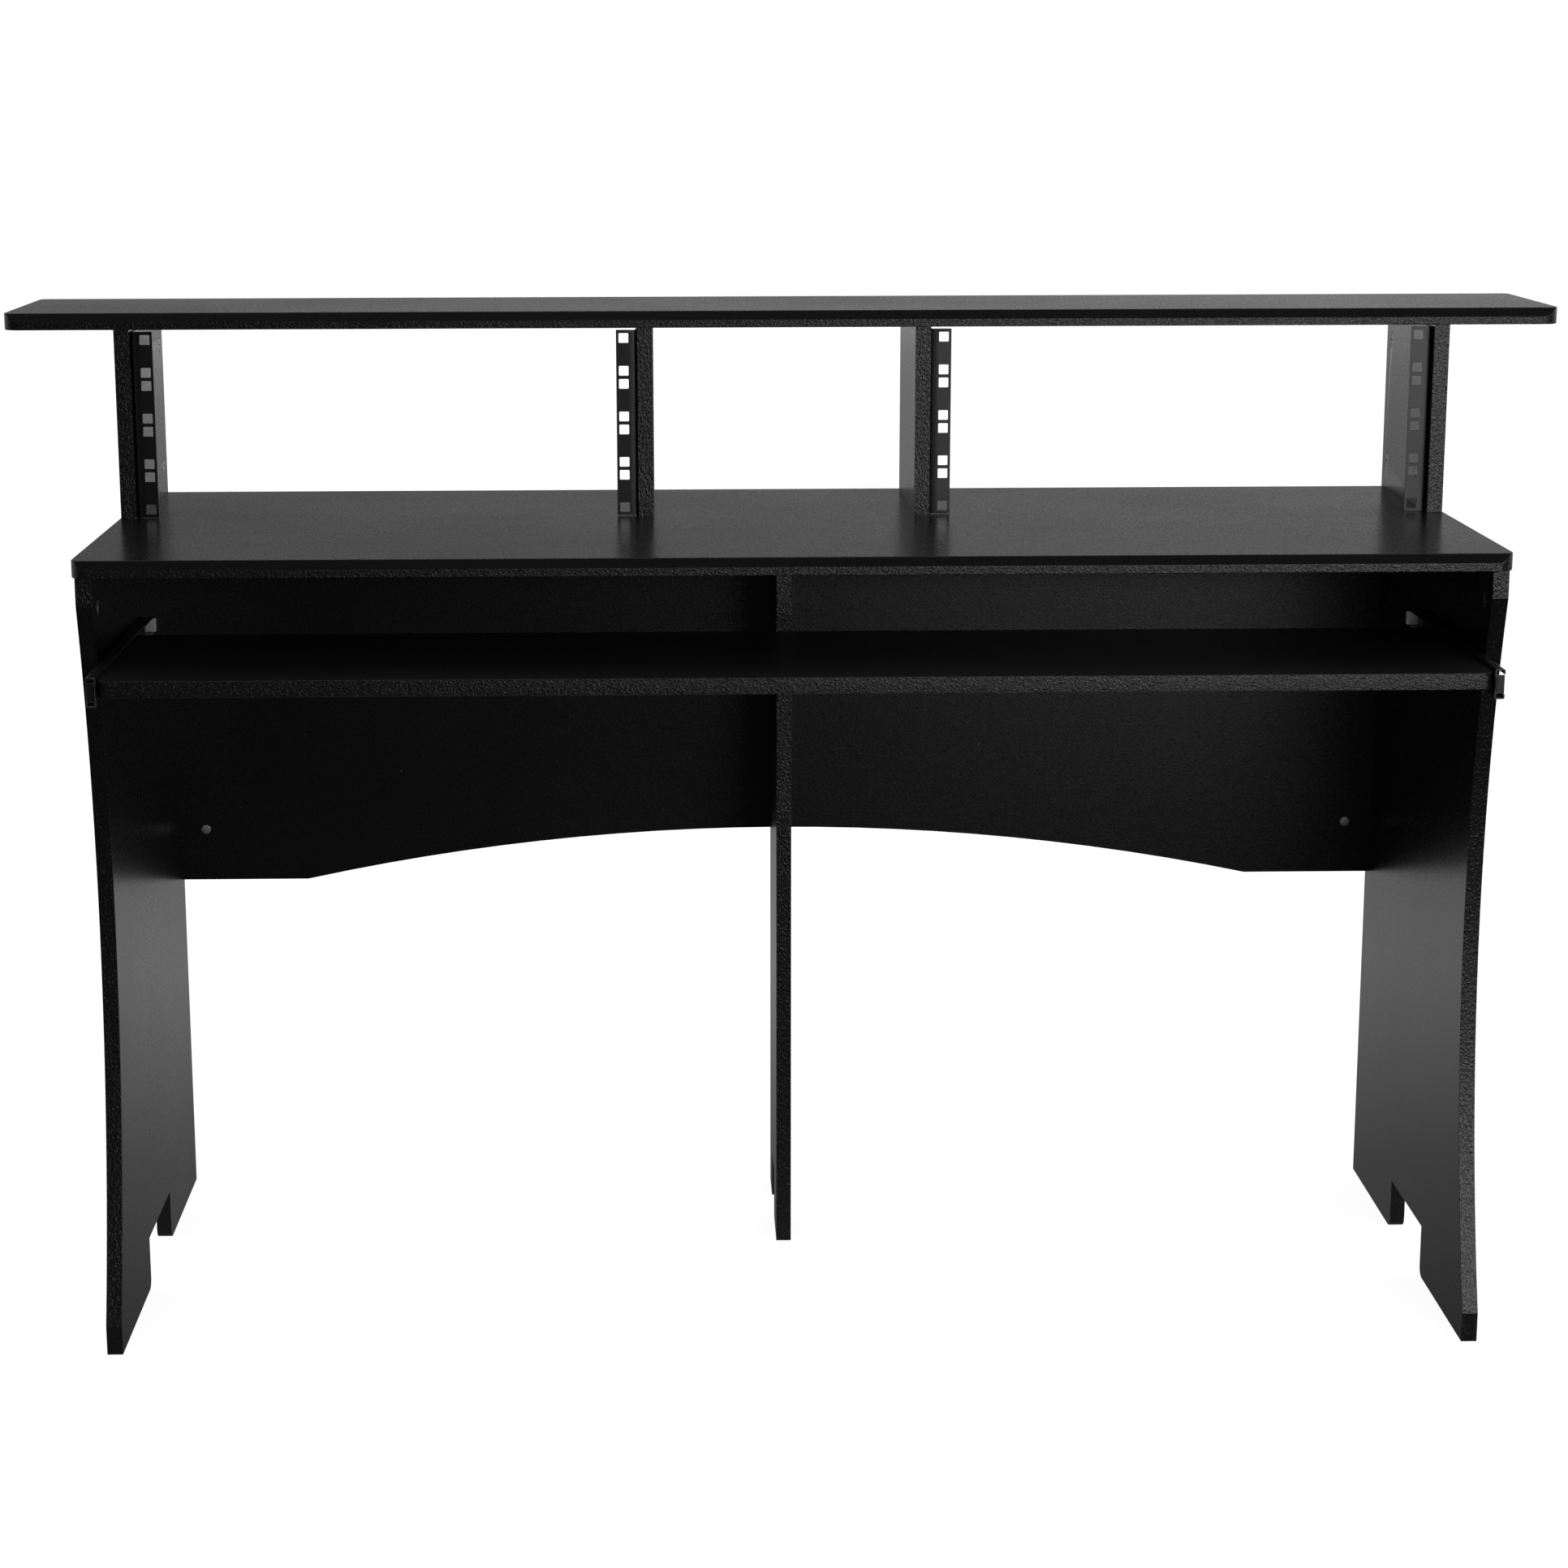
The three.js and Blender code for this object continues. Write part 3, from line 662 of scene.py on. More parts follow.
def extruded(tree, shape, way, **more):
    return add_node(tree, "GeometryNodeExtrudeMesh",
                    {"Mesh": shape, "Offset": way, "Offset Scale": 1.0, "Individual": False, **more}).outputs


def closed(tree, flat, drawn):
    """A closed body from a flat face and what was drawn from it."""
    base = add_node(tree, "GeometryNodeFlipFaces", {"Mesh": flat}).outputs[0]
    return add_node(tree, "GeometryNodeMergeByDistance",
                    {"Geometry": joined(tree, base, drawn), "Distance": WELD}).outputs[0]


def cylinder(tree, sides, radius, depth):
    return add_node(tree, "GeometryNodeMeshCylinder",
                    {"Vertices": sides, "Radius": radius, "Depth": depth}).outputs["Mesh"]


def cube(tree, size):
    return add_node(tree, "GeometryNodeMeshCube", {"Size": size}).outputs[0]


def cut_from(tree, body, *tools):
    return add_node(tree, "GeometryNodeMeshBoolean", {"Mesh 1": body, "Mesh 2": list(tools)},
                    operation="DIFFERENCE", solver="EXACT").outputs[0]


def unless_nothing(tree, extent, shape):
    """The shape, left out where its extent is nothing."""
    wanted = add_node(tree, "FunctionNodeCompare", {"A": extent, "B": WELD}, operation="GREATER_THAN")
    return add_node(tree, "GeometryNodeSwitch", {"Switch": wanted.outputs[0], "True": shape},
                    input_type="GEOMETRY").outputs[0]


def on_points(tree, points, shape, **more):
    """A shape on each point, as real faces."""
    copies = add_node(tree, "GeometryNodeInstanceOnPoints", {"Points": points, "Instance": shape, **more})
    return add_node(tree, "GeometryNodeRealizeInstances", {"Geometry": copies.outputs[0]}).outputs[0]


def two_rows(tree, first, apart, count, step):
    """The points of two equal rows, the second some way apart from the first."""
    rows = []
    for offset in ((0, 0, 0), apart):
        start = add_node(tree, "ShaderNodeVectorMath", {0: first, 1: offset}, operation="ADD").outputs[0]
        rows.append(add_node(tree, "GeometryNodeMeshLine",
                             {"Count": count, "Start Location": start, "Offset": step},
                             mode="OFFSET").outputs[0])
    return joined(tree, *rows)


def round_body(tree, has, steps=4):
    """A closed round head: a straight side, then a crown that rises while it draws in by its reach."""
    disc = add_node(tree, "GeometryNodeMeshCircle", {"Vertices": has["Sides"], "Radius": has["Radius"]},
                    fill_type="NGON").outputs[0]
    side = extruded(tree, disc, upward(tree, has["Height"]))
    shape, top = side["Mesh"], side["Top"]
    for step in range(steps):
        before, after = (QUARTER_TURN * (step + i) / steps for i in (0, 1))
        rise = times(tree, has["Crown"], math.sin(after) - math.sin(before))
        drawn = [maths(tree, "SUBTRACT", 1.0, times(tree, has["Crown Reach"], 1 - math.cos(angle)))
                 for angle in (before, after)]
        raised = extruded(tree, shape, upward(tree, rise), Selection=top)
        top = raised["Top"]
        shape = add_node(tree, "GeometryNodeScaleElements",
                         {"Geometry": raised["Mesh"], "Selection": top,
                          "Scale": maths(tree, "DIVIDE", drawn[1], drawn[0])}).outputs[0]
    return closed(tree, disc, shape)


def bar(tree, has, top, label, turn=0.0):
    """A bar that is let into the top of a head, and is left out where its length is nothing."""
    size = vector(tree, X=has[label], Y=has["Bar Width"], Z=times(tree, has["Recess Depth"], 2.0))
    return unless_nothing(tree, has[label], moved(tree, cube(tree, size), upward(tree, top), (0, 0, turn)))


HEAD_SOCKETS = {
    "Geometry": "Geometry", "Sides": 32, "Radius": 4 * MM, "Height": 1 * MM, "Crown": 1 * MM,
    "Crown Reach": 0.7, "Recess Depth": 1 * MM, "Bar Width": 1 * MM, "Bar Length": 4 * MM,
    "Second Bar Length": 4 * MM, "Material": "Material",
}


def start_heads(name, more):
    """A tree with the sockets of all heads and some more, the head's top and the bars let into it."""
    tree, has, result = new_group(name, "GeometryNodeTree", {**HEAD_SOCKETS, **more}, ("Geometry",))
    top = maths(tree, "ADD", has["Height"], has["Crown"])
    bars = (bar(tree, has, top, "Bar Length"), bar(tree, has, top, "Second Bar Length", QUARTER_TURN))
    return tree, has, result, top, bars


def placed_heads(tree, has, result, head):
    """Puts a head on each point, turned by the points' turn attribute."""
    turn = add_node(tree, "GeometryNodeInputNamedAttribute", {"Name": "turn"}, data_type="FLOAT_VECTOR")
    spin = add_node(tree, "FunctionNodeEulerToRotation", {"Euler": turn.outputs["Attribute"]}).outputs[0]
    real = on_points(tree, has["Geometry"], head, Rotation=spin)
    return giving(tree, result, Geometry=painted(tree, real, has["Material"]))


def screw_tree():
    """Round heads with a slot, a cross or a hexagon socket, and a shank."""
    tree, has, result, top, bars = start_heads(
        "Screws", {"Socket Radius": 0.0, "Shank Radius": 1.5 * MM, "Shank Length": 10 * MM})
    deep = times(tree, has["Recess Depth"], 2.0)
    socket = moved(tree, cylinder(tree, SOCKET_SIDES, has["Socket Radius"], deep), upward(tree, top))
    hexagon = unless_nothing(tree, has["Socket Radius"], socket)
    head = cut_from(tree, round_body(tree, has), *bars, hexagon)
    middle = times(tree, has["Shank Length"], -0.5)
    shank = moved(tree, cylinder(tree, SHANK_SIDES, has["Shank Radius"], has["Shank Length"]),
                  upward(tree, middle))
    return placed_heads(tree, has, result, joined(tree, head, shank))


def cam_tree():
    """Cam locks: a disc with a groove, a cross and a notch that points to the joint."""
    tree, has, result, top, bars = start_heads(
        "Cam locks", {"Groove Radius": 5 * MM, "Groove Width": 0.8 * MM, "Notch Length": 2 * MM,
                      "Notch Width": 1.6 * MM})
    size = vector(tree, X=has["Notch Width"], Y=has["Notch Length"], Z=times(tree, has["Recess Depth"], 3.0))
    notch = moved(tree, cube(tree, size), vector(tree, Y=has["Radius"], Z=top))
    depth = times(tree, has["Recess Depth"], GROOVE_SHARE)
    inner = maths(tree, "SUBTRACT", has["Groove Radius"], has["Groove Width"])
    tube = cut_from(tree, cylinder(tree, has["Sides"], has["Groove Radius"], times(tree, depth, 2.0)),
                    cylinder(tree, has["Sides"], inner, times(tree, depth, 3.0)))
    groove = moved(tree, tube, upward(tree, top))
    return placed_heads(tree, has, result, cut_from(tree, round_body(tree, has), *bars, groove, notch))


def rail_tree():
    """A folded rail: its section drawn up to its height, with the rack's hole rows cut through it."""
    tree, has, result = new_group(
        "Rack rail", "GeometryNodeTree",
        {"Geometry": "Geometry", "Height": RACK_UNITS * RACK_UNIT, "Hole Size": 9.5 * MM,
         "Hole Corner": 0.8 * MM, "First Hole": (0, 0, 0), "Units": RACK_UNITS, "Unit Height": RACK_UNIT,
         "From Unit End": HOLE_FROM_UNIT_END, "Material": "Material"}, ("Geometry",))
    section = has["Geometry"]
    steel = closed(tree, section, extruded(tree, section, upward(tree, has["Height"]))["Mesh"])
    square = add_node(tree, "GeometryNodeCurvePrimitiveQuadrilateral",
                      {"Width": has["Hole Size"], "Height": has["Hole Size"]}).outputs[0]
    filleted = add_node(tree, "GeometryNodeFilletCurve",
                        {"Curve": square, "Radius": has["Hole Corner"], "Count": HOLE_CORNER_STEPS},
                        mode="POLY").outputs[0]
    plate = add_node(tree, "GeometryNodeFillCurve", {"Curve": filleted}, mode="NGONS").outputs[0]
    punch = closed(tree, plate, extruded(tree, plate, (0, 0, PUNCH_DEPTH))["Mesh"])
    level = moved(tree, punch, (0, PUNCH_DEPTH / 2, 0), (QUARTER_TURN, 0, 0))
    span = maths(tree, "SUBTRACT", has["Unit Height"], times(tree, has["From Unit End"], 2.0))
    rows = two_rows(tree, has["First Hole"], upward(tree, span), has["Units"],
                    upward(tree, has["Unit Height"]))
    holed = cut_from(tree, steel, on_points(tree, rows, level))
    real = add_node(tree, "GeometryNodeRealizeInstances", {"Geometry": holed}).outputs[0]
    return giving(tree, result, Geometry=painted(tree, real, has["Material"]))


def ball_tree():
    """Two rows of balls on a strip, as real faces."""
    tree, has, result = new_group(
        "Ball rows", "GeometryNodeTree",
        {"Geometry": "Geometry", "Ball Radius": 1.8 * MM, "Count": 6, "Pitch": 15 * MM,
         "Row Spacing": 20 * MM, "First Ball": (0, 0, 0), "Strip Material": "Material",
         "Ball Material": "Material"}, ("Geometry",))
    ball = add_node(tree, "GeometryNodeMeshUVSphere",
                    {"Radius": has["Ball Radius"], "Segments": BALL_SEGMENTS, "Rings": BALL_RINGS})
    rows = two_rows(tree, has["First Ball"], upward(tree, has["Row Spacing"]), has["Count"],
                    vector(tree, Y=has["Pitch"]))
    balls = on_points(tree, rows, ball.outputs["Mesh"])
    smooth = add_node(tree, "GeometryNodeSetShadeSmooth", {"Geometry": balls}).outputs[0]
    strip = painted(tree, has["Geometry"], has["Strip Material"])
    return giving(tree, result, Geometry=joined(tree, strip, painted(tree, smooth, has["Ball Material"])))


def shared(name):
    """A shared effect or tree, built the first time that something asks for it."""
    builders = {
        "Pearl grain": pearl_grain_group, "Lipping grain": lipping_grain_group, "Rim rubbing and highlight": rim_wear_and_highlight_group,
        "Marks": marks_group, "Screws": screw_tree, "Cam locks": cam_tree, "Rack rail": rail_tree,
        "Ball rows": ball_tree,
    }
    return bpy.data.node_groups.get(name) or builders[name]()


def grown(piece, tree_name, values):
    """Runs a tree on a piece with its inputs set, and keeps the result as plain mesh."""
    tree = shared(tree_name)
    modifier = piece.modifiers.new(tree_name, "NODES")
    modifier.node_group = tree
    sockets = {item.name: item.identifier for item in tree.interface.items_tree if item.in_out == "INPUT"}
    for label, value in values.items():
        modifier[sockets[label]] = value
    return baked(piece)


def node_end(node, facing):
    """The middle of a frame node's end, on the side that it faces."""
    low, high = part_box(node)
    middle = (low + high) / 2
    half = (high - low) / 2
    return middle + Vector(part * extent for part, extent in zip(facing, half))


def spot_points(name, spots):
    """Points for heads: each spot is the place under a head and the way that it faces."""
    shape = bmesh.new()
    for place, _ in spots:
        shape.verts.new(place)
    piece = new_piece(name, shape)
    turn = piece.data.attributes.new("turn", "FLOAT_VECTOR", "POINT")
    for number, (_, facing) in enumerate(spots):
        turn.data[number].vector = facing.to_track_quat("Z", "Y").to_euler()
    return piece


def heads(name, tree, fittings, values, material, slot, extra_spots=()):
    """Fittings of one kind on one body, each given as its frame node and the way that it faces."""
    tall = values["Height"] + values["Crown"]
    spots = [(node_end(node, facing), facing) for node, facing in fittings] + list(extra_spots)
    piece = spot_points(name, [(place - facing * tall, facing) for place, facing in spots])
    grown(piece, tree, {"Sides": sizes().fitting_sides, "Material": material, **values})
    piece.data.shade_smooth()
    piece.data.set_sharp_from_angle(angle=HEAD_SHARP)
    settle(piece, slot, *(node for node, _ in fittings))


# Sheet-metal sections

def rounded_path(points, radius, steps=4):
    """A flat path with each inner corner turned into an arc."""
    path = [Vector(points[0])]
    for before, corner, after in zip(points, points[1:], points[2:]):
        corner = Vector(corner)
        came = (corner - Vector(before)).normalized()
        goes = (Vector(after) - corner).normalized()
        turn = came.angle_signed(goes)
        reach = radius * math.tan(abs(turn) / 2)
        side = 1 if turn < 0 else -1
        centre = corner - came * reach + Vector((-came.y, came.x)) * side * radius
        spoke = corner - came * reach - centre
        for step in range(steps + 1):
            angle = -turn * step / steps
            turned = Vector((spoke.x * math.cos(angle) - spoke.y * math.sin(angle),
                             spoke.x * math.sin(angle) + spoke.y * math.cos(angle)))
            path.append(centre + turned)
    path.append(Vector(points[-1]))
    return path


def sheet_section(points, thickness, radius):
    """The closed outline of a sheet that follows a path at its middle."""
    path = rounded_path(points, radius)
    left, right = [], []
    for number, point in enumerate(path):
        ahead = path[min(number + 1, len(path) - 1)] - path[max(number - 1, 0)]
        across = Vector((-ahead.y, ahead.x)).normalized() * thickness / 2
        left.append(point + across)
        right.append(point - across)
    return left + right[::-1]


def drawn_along_y(outline, start, end, shape=None):
    """A solid from an (x, z) outline drawn along Y, on its own or beside what a bmesh already holds."""
    shape = shape or bmesh.new()
    face = shape.faces.new([shape.verts.new((x, start, z)) for x, z in outline])
    drawn = bmesh.ops.extrude_face_region(shape, geom=[face])
    moved = [part for part in drawn["geom"] if isinstance(part, bmesh.types.BMVert)]
    bmesh.ops.translate(shape, verts=moved, vec=(0, end - start, 0))
    bmesh.ops.recalc_face_normals(shape, faces=shape.faces)
    return shape


# Materials that belong together, and the ways that pieces face

FLAT_BOARD, UPRIGHT_BOARD, CROSS_BOARD = 2, 0, 1
RIGHT, LEFT, BACK = Vector((1, 0, 0)), Vector((-1, 0, 0)), Vector((0, 1, 0))
LIPPING_STRETCH = 0.7


def band_along(axis):
    """Lipping along X, Y or Z: fine on the flat boards, and coarser on the upright ones."""
    stretch = tuple(LIPPING_STRETCH if letter == axis else 1.0 for letter in "XYZ")
    if axis == "Z":
        return lipping("Coarse lipping", sizes().coarse_grain, stretch, 0.5 * MM)
    return lipping("Fine lipping", sizes().lipping_grain, stretch, 0.55 * MM)


def wide_board(node, name):
    """Desktop or shelf, whose faces are pressed a little smoother than those of the upright boards."""
    materials = [melamine("Wide melamine"), band_along("X"), smooth_bevel()]
    board(name, node, FLAT_BOARD, materials, front_band)


def standing_board(node, thickness_axis=UPRIGHT_BOARD, along="Z", spots=()):
    materials = [melamine("Upright melamine", depth=0.2 * MM), band_along(along)]
    board(f"{node}_board", node, thickness_axis, materials, spots=spots)


def front_band(normal):
    """The face of a wide board: 0 above and below, 2 on the bevel in front, 1 on the rest of its edges."""
    if abs(normal.z) > WIDE_FACE:
        return 0
    return 2 if normal.z > 0.35 and normal.y < -0.4 else 1


def upright_facing(name):
    """The way from an upright into its rack bay."""
    low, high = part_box(f"upright_{name}")
    cam_low, cam_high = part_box(f"cam_lock_{name}_top")
    return RIGHT if high.x - cam_high.x < cam_low.x - low.x else LEFT


def inward(side):
    return RIGHT if side == "left" else LEFT


def front_cam_spots(name):
    """The places of an upright's front cam locks, level with its rear ones."""
    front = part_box(f"upright_{name}")[0].y
    facing = upright_facing(name)
    rears = [node_end(f"cam_lock_{name}_{end}", facing) for end in ENDS]
    return [(Vector((rear.x, front + FRONT_CAM_BEHIND, rear.z)), facing) for rear in rears]


class Maker:
    """What the operators share: each makes its pieces, and is done."""

    def execute(self, context):
        self.make(context.scene)
        return {"FINISHED"}


class DESK_OT_desktop(Maker, bpy.types.Operator):
    """Makes the desktop, with a smooth bevel over its textured front edge"""
    bl_idname = "desk.desktop"
    bl_label = "Desktop"

    def make(self, scene):
        wide_board("desktop", "desktop_board")


class DESK_OT_shelf(Maker, bpy.types.Operator):
    """Makes the top shelf"""
    bl_idname = "desk.shelf"
    bl_label = "Top shelf"

    def make(self, scene):
        wide_board("top_shelf", "shelf_board")


class DESK_OT_side_legs(Maker, bpy.types.Operator):
    """Makes the two side legs"""
    bl_idname = "desk.side_legs"
    bl_label = "Side legs"

    def make(self, scene):
        for side in SIDES:
            standing_board(f"side_leg_{side}")


class DESK_OT_centre_leg(Maker, bpy.types.Operator):
    """Makes the centre leg"""
    bl_idname = "desk.centre_leg"
    bl_label = "Centre leg"

    def make(self, scene):
        standing_board("centre_leg")


class DESK_OT_modesty_panel(Maker, bpy.types.Operator):
    """Makes the modesty panel"""
    bl_idname = "desk.modesty_panel"
    bl_label = "Modesty panel"

    def make(self, scene):
        standing_board("modesty_panel", CROSS_BOARD, "X")


class DESK_OT_uprights(Maker, bpy.types.Operator):
    """Makes the four uprights, each with the recesses of its front cam locks"""
    bl_idname = "desk.uprights"
    bl_label = "Uprights"

    def make(self, scene):
        for name in UPRIGHTS:
            standing_board(f"upright_{name}", spots=front_cam_spots(name))


class DESK_OT_keyboard_tray(Maker, bpy.types.Operator):
    """Makes the keyboard tray, a little scratched on top"""
    bl_idname = "desk.keyboard_tray"
    bl_label = "Keyboard tray"

    def make(self, scene):
        worn_and_highlit = melamine("Tray melamine", roughness=0.36, dust=0.12, scratches=0.5, depth=0.2 * MM)
        board("keyboard_tray_board", "keyboard_tray", FLAT_BOARD, [worn_and_highlit, band_along("X")],
              crown=sizes().tray_crown)


class DESK_OT_rack_rails(Maker, bpy.types.Operator):
    """Makes the four folded rails with their square holes"""
    bl_idname = "desk.rack_rails"
    bl_label = "Rack rails"

    def make(self, scene):
        for name in UPRIGHTS:
            node = f"rack_rail_{name}"
            low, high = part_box(node)
            into_bay = upright_facing(name).x
            fold_x, free_x = (low.x, high.x) if into_bay > 0 else (high.x, low.x)
            half = RAIL_STEEL / 2
            front = low.y + half
            middle = [(fold_x + into_bay * half, high.y), (fold_x + into_bay * half, front), (free_x, front)]
            outline = sheet_section(middle, RAIL_STEEL, RAIL_BEND - half)
            shape = bmesh.new()
            section = shape.faces.new([shape.verts.new((x, y, low.z)) for x, y in outline])
            section.normal_update()
            if section.normal.z < 0:
                section.normal_flip()
            piece = new_piece(f"{node}_steel", shape)
            row = free_x - into_bay * HOLE_FROM_FREE_EDGE
            grown(piece, "Rack rail", {
                "Height": high.z - low.z, "Hole Size": sizes().hole_width, "Hole Corner": sizes().hole_corner,
                "First Hole": (row, front, low.z + RAIL_END + HOLE_FROM_UNIT_END), "Units": RACK_UNITS,
                "Unit Height": RACK_UNIT, "From Unit End": HOLE_FROM_UNIT_END, "Material": powder_coat()})
            rounded(piece, sizes().steel_radius)
            finish(piece, [powder_coat()])
            settle(piece, "rail", node)


class DESK_OT_slides(Maker, bpy.types.Operator):
    """Makes the fixed and the moving members of both slides from folded steel"""
    bl_idname = "desk.slides"
    bl_label = "Slides"

    steel: length("Steel", "Thickness of the slides' steel", 1.2 * MM)
    lip: length("Lip", "Height of the moving member's lips", 4.5 * MM)
    tab: length("Tab", "Thickness of the tab that closes the moving member's front", 0.8 * MM)
    step: length("Step", "How far the web stands back in its middle", 0.8 * MM)

    def make(self, scene):
        for side, out in zip(SIDES, (-1, 1)):
            near, far, start, top, bottom = self.middle(f"slide_moving_{side}", out)
            quarter = (top - bottom) / 4
            half = self.steel / 2
            back = near + out * self.step
            moving = [(far, top - self.lip + half), (far, top), (near, top),
                      (near, top - quarter), (back, top - quarter - self.step),
                      (back, bottom + quarter + self.step), (near, bottom + quarter),
                      (near, bottom), (far, bottom), (far, bottom + self.lip - half)]
            lips = (bottom + self.lip, top - self.lip)
            tab = [(near, lips[0]), (far, lips[0]), (far, lips[1]), (near, lips[1])]
            self.member(f"slide_moving_{side}", moving, start, tab)
            near, far, start, top, bottom = self.middle(f"slide_fixed_{side}", out)
            edge = near - out * half
            fixed = [(edge, top), (far, top), (far, bottom), (edge, bottom)]
            self.member(f"slide_fixed_{side}", fixed, start + 2 * self.tab)

    def middle(self, node, out):
        """Where the middle of a member's steel runs: near and far side, front end, top and bottom."""
        low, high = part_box(node)
        near, far = sorted((low.x, high.x), key=abs)
        half = self.steel / 2
        return near + out * half, far - out * half, low.y, high.z - half, low.z + half

    def member(self, node, middle, start, tab=None):
        outline = sheet_section(middle, self.steel, self.steel * 0.75)
        shape = drawn_along_y(outline, start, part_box(node)[1].y)
        if tab:
            shape = drawn_along_y(tab, start, start + self.tab, shape)
        piece = new_piece(f"{node}_steel", shape)
        rounded(piece, sizes().steel_radius * 0.8, segments=1)
        # The slides' bright bare-steel rims are partly rubbed wear and partly a painted edge highlight
        finish(piece, [coated_steel("Coated slide steel", colours().slide, 0.32, 0.5)])
        settle(piece, "slide", node)


class DESK_OT_ball_cages(Maker, bpy.types.Operator):
    """Makes the ball cages between the slides' members"""
    bl_idname = "desk.ball_cages"
    bl_label = "Ball cages"

    ball_radius: length("Ball radius", "Radius of the balls", 1.8 * MM)
    balls: IntProperty(name="Balls", description="Balls in each row", default=6, min=1)
    strip: length("Strip", "Thickness of the cage's strip", 0.8 * MM)

    def make(self, scene):
        bright = bare_metal("Ball steel", colours().steel, 0.18, 0.1)
        dull = bare_metal("Cage steel", colours().steel, 0.35, 0.5)
        for side, out in zip(SIDES, (-1, 1)):
            node = f"ball_cage_{side}"
            low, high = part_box(node)
            near, far = sorted((low.x, high.x), key=abs)
            web = near + out * self.strip / 2
            level = (high.z - low.z) / 2 - self.ball_radius
            centre = (high.z + low.z) / 2
            middle = [(far, centre + level), (web, centre + level), (web, centre - level),
                      (far, centre - level)]
            outline = sheet_section(middle, self.strip, self.strip)
            piece = new_piece(f"{node}_steel", drawn_along_y(outline, low.y, high.y))
            pitch = (high.y - low.y) / self.balls
            ball_x = near + out * (self.strip + self.ball_radius)
            grown(piece, "Ball rows", {
                "Ball Radius": self.ball_radius, "Count": self.balls, "Pitch": pitch,
                "Row Spacing": 2 * level, "First Ball": (ball_x, low.y + pitch / 2, centre - level),
                "Strip Material": dull, "Ball Material": bright})
            settle(piece, "cage", node)


class DESK_OT_slide_stops(Maker, bpy.types.Operator):
    """Makes the nylon stops behind the slides"""
    bl_idname = "desk.slide_stops"
    bl_label = "Slide stops"

    corner: length("Corner", "Radius of the stops' corners", 1.1 * MM)

    def make(self, scene):
        for side in SIDES:
            piece = new_piece(f"slide_stop_{side}_nylon", merged_copy(f"slide_stop_{side}"))
            rounded(piece, self.corner, segments=3)
            finish(piece, [moulded_nylon()])
            settle(piece, "stop", f"slide_stop_{side}")


class DESK_OT_screws(Maker, bpy.types.Operator):
    """Makes the small screws of the rails and the slides"""
    bl_idname = "desk.screws"
    bl_label = "Rail and slide screws"

    def make(self, scene):
        black = coated_steel("Blackened screw steel", colours().blackened, 0.34, 0.4)
        values = {"Radius": 3.6 * MM, "Height": 0.5 * MM, "Crown": 1.1 * MM, "Crown Reach": 0.6,
                  "Recess Depth": 0.9 * MM, "Bar Width": 0.9 * MM, "Bar Length": 4.3 * MM,
                  "Second Bar Length": 4.3 * MM, "Shank Radius": 1.75 * MM, "Shank Length": 12 * MM}
        rails = [(f"rail_screw_{name}_{end}", upright_facing(name)) for name in UPRIGHTS for end in ENDS]
        slides = [(f"slide_screw_{side}_{end}", inward(side)) for side in SIDES for end in LENGTHWISE]
        heads("rail_screws", "Screws", rails, values, black, "screw")
        heads("slide_screws", "Screws", slides, values, black, "screw")


class DESK_OT_panel_bolts(Maker, bpy.types.Operator):
    """Makes the bolts through the legs and the screws through the panel, all with hexagon sockets"""
    bl_idname = "desk.panel_bolts"
    bl_label = "Panel bolts and screws"

    def make(self, scene):
        black = coated_steel("Blackened bolt steel", colours().blackened, 0.3, 0.5)
        values = {"Radius": 7.5 * MM, "Height": 0.8 * MM, "Crown": 1.4 * MM, "Crown Reach": 0.45,
                  "Recess Depth": 1.6 * MM, "Bar Length": 0.0, "Second Bar Length": 0.0,
                  "Socket Radius": 2.3 * MM, "Shank Radius": 3 * MM, "Shank Length": 50 * MM}
        bolts = [(f"panel_bolt_{side}_{end}", -inward(side)) for side in SIDES for end in ENDS]
        heads("panel_bolts", "Screws", bolts, values, black, "bolt")
        values = {**values, "Radius": 5 * MM, "Height": 3.7 * MM, "Crown": 0.3 * MM, "Crown Reach": 0.06,
                  "Shank Length": 46 * MM}
        screws = [(f"panel_screw_{number}", BACK) for number in (1, 2, 3)]
        heads("panel_screws", "Screws", screws, values, black, "bolt")


class DESK_OT_barrel_nuts(Maker, bpy.types.Operator):
    """Makes the slotted barrel nuts in the panel"""
    bl_idname = "desk.barrel_nuts"
    bl_label = "Barrel nuts"

    def make(self, scene):
        values = {"Radius": 5 * MM, "Height": 12.6 * MM, "Crown": 0.4 * MM, "Crown Reach": 0.08,
                  "Recess Depth": 1.2 * MM, "Bar Width": 1.6 * MM, "Bar Length": 12 * MM,
                  "Second Bar Length": 0.0, "Shank Radius": 4 * MM, "Shank Length": 0.1 * MM}
        nuts = [(f"barrel_nut_{side}_{end}", -BACK) for side in SIDES for end in ENDS]
        heads("barrel_nuts", "Screws", nuts, values, zinc_plate(), "zinc")


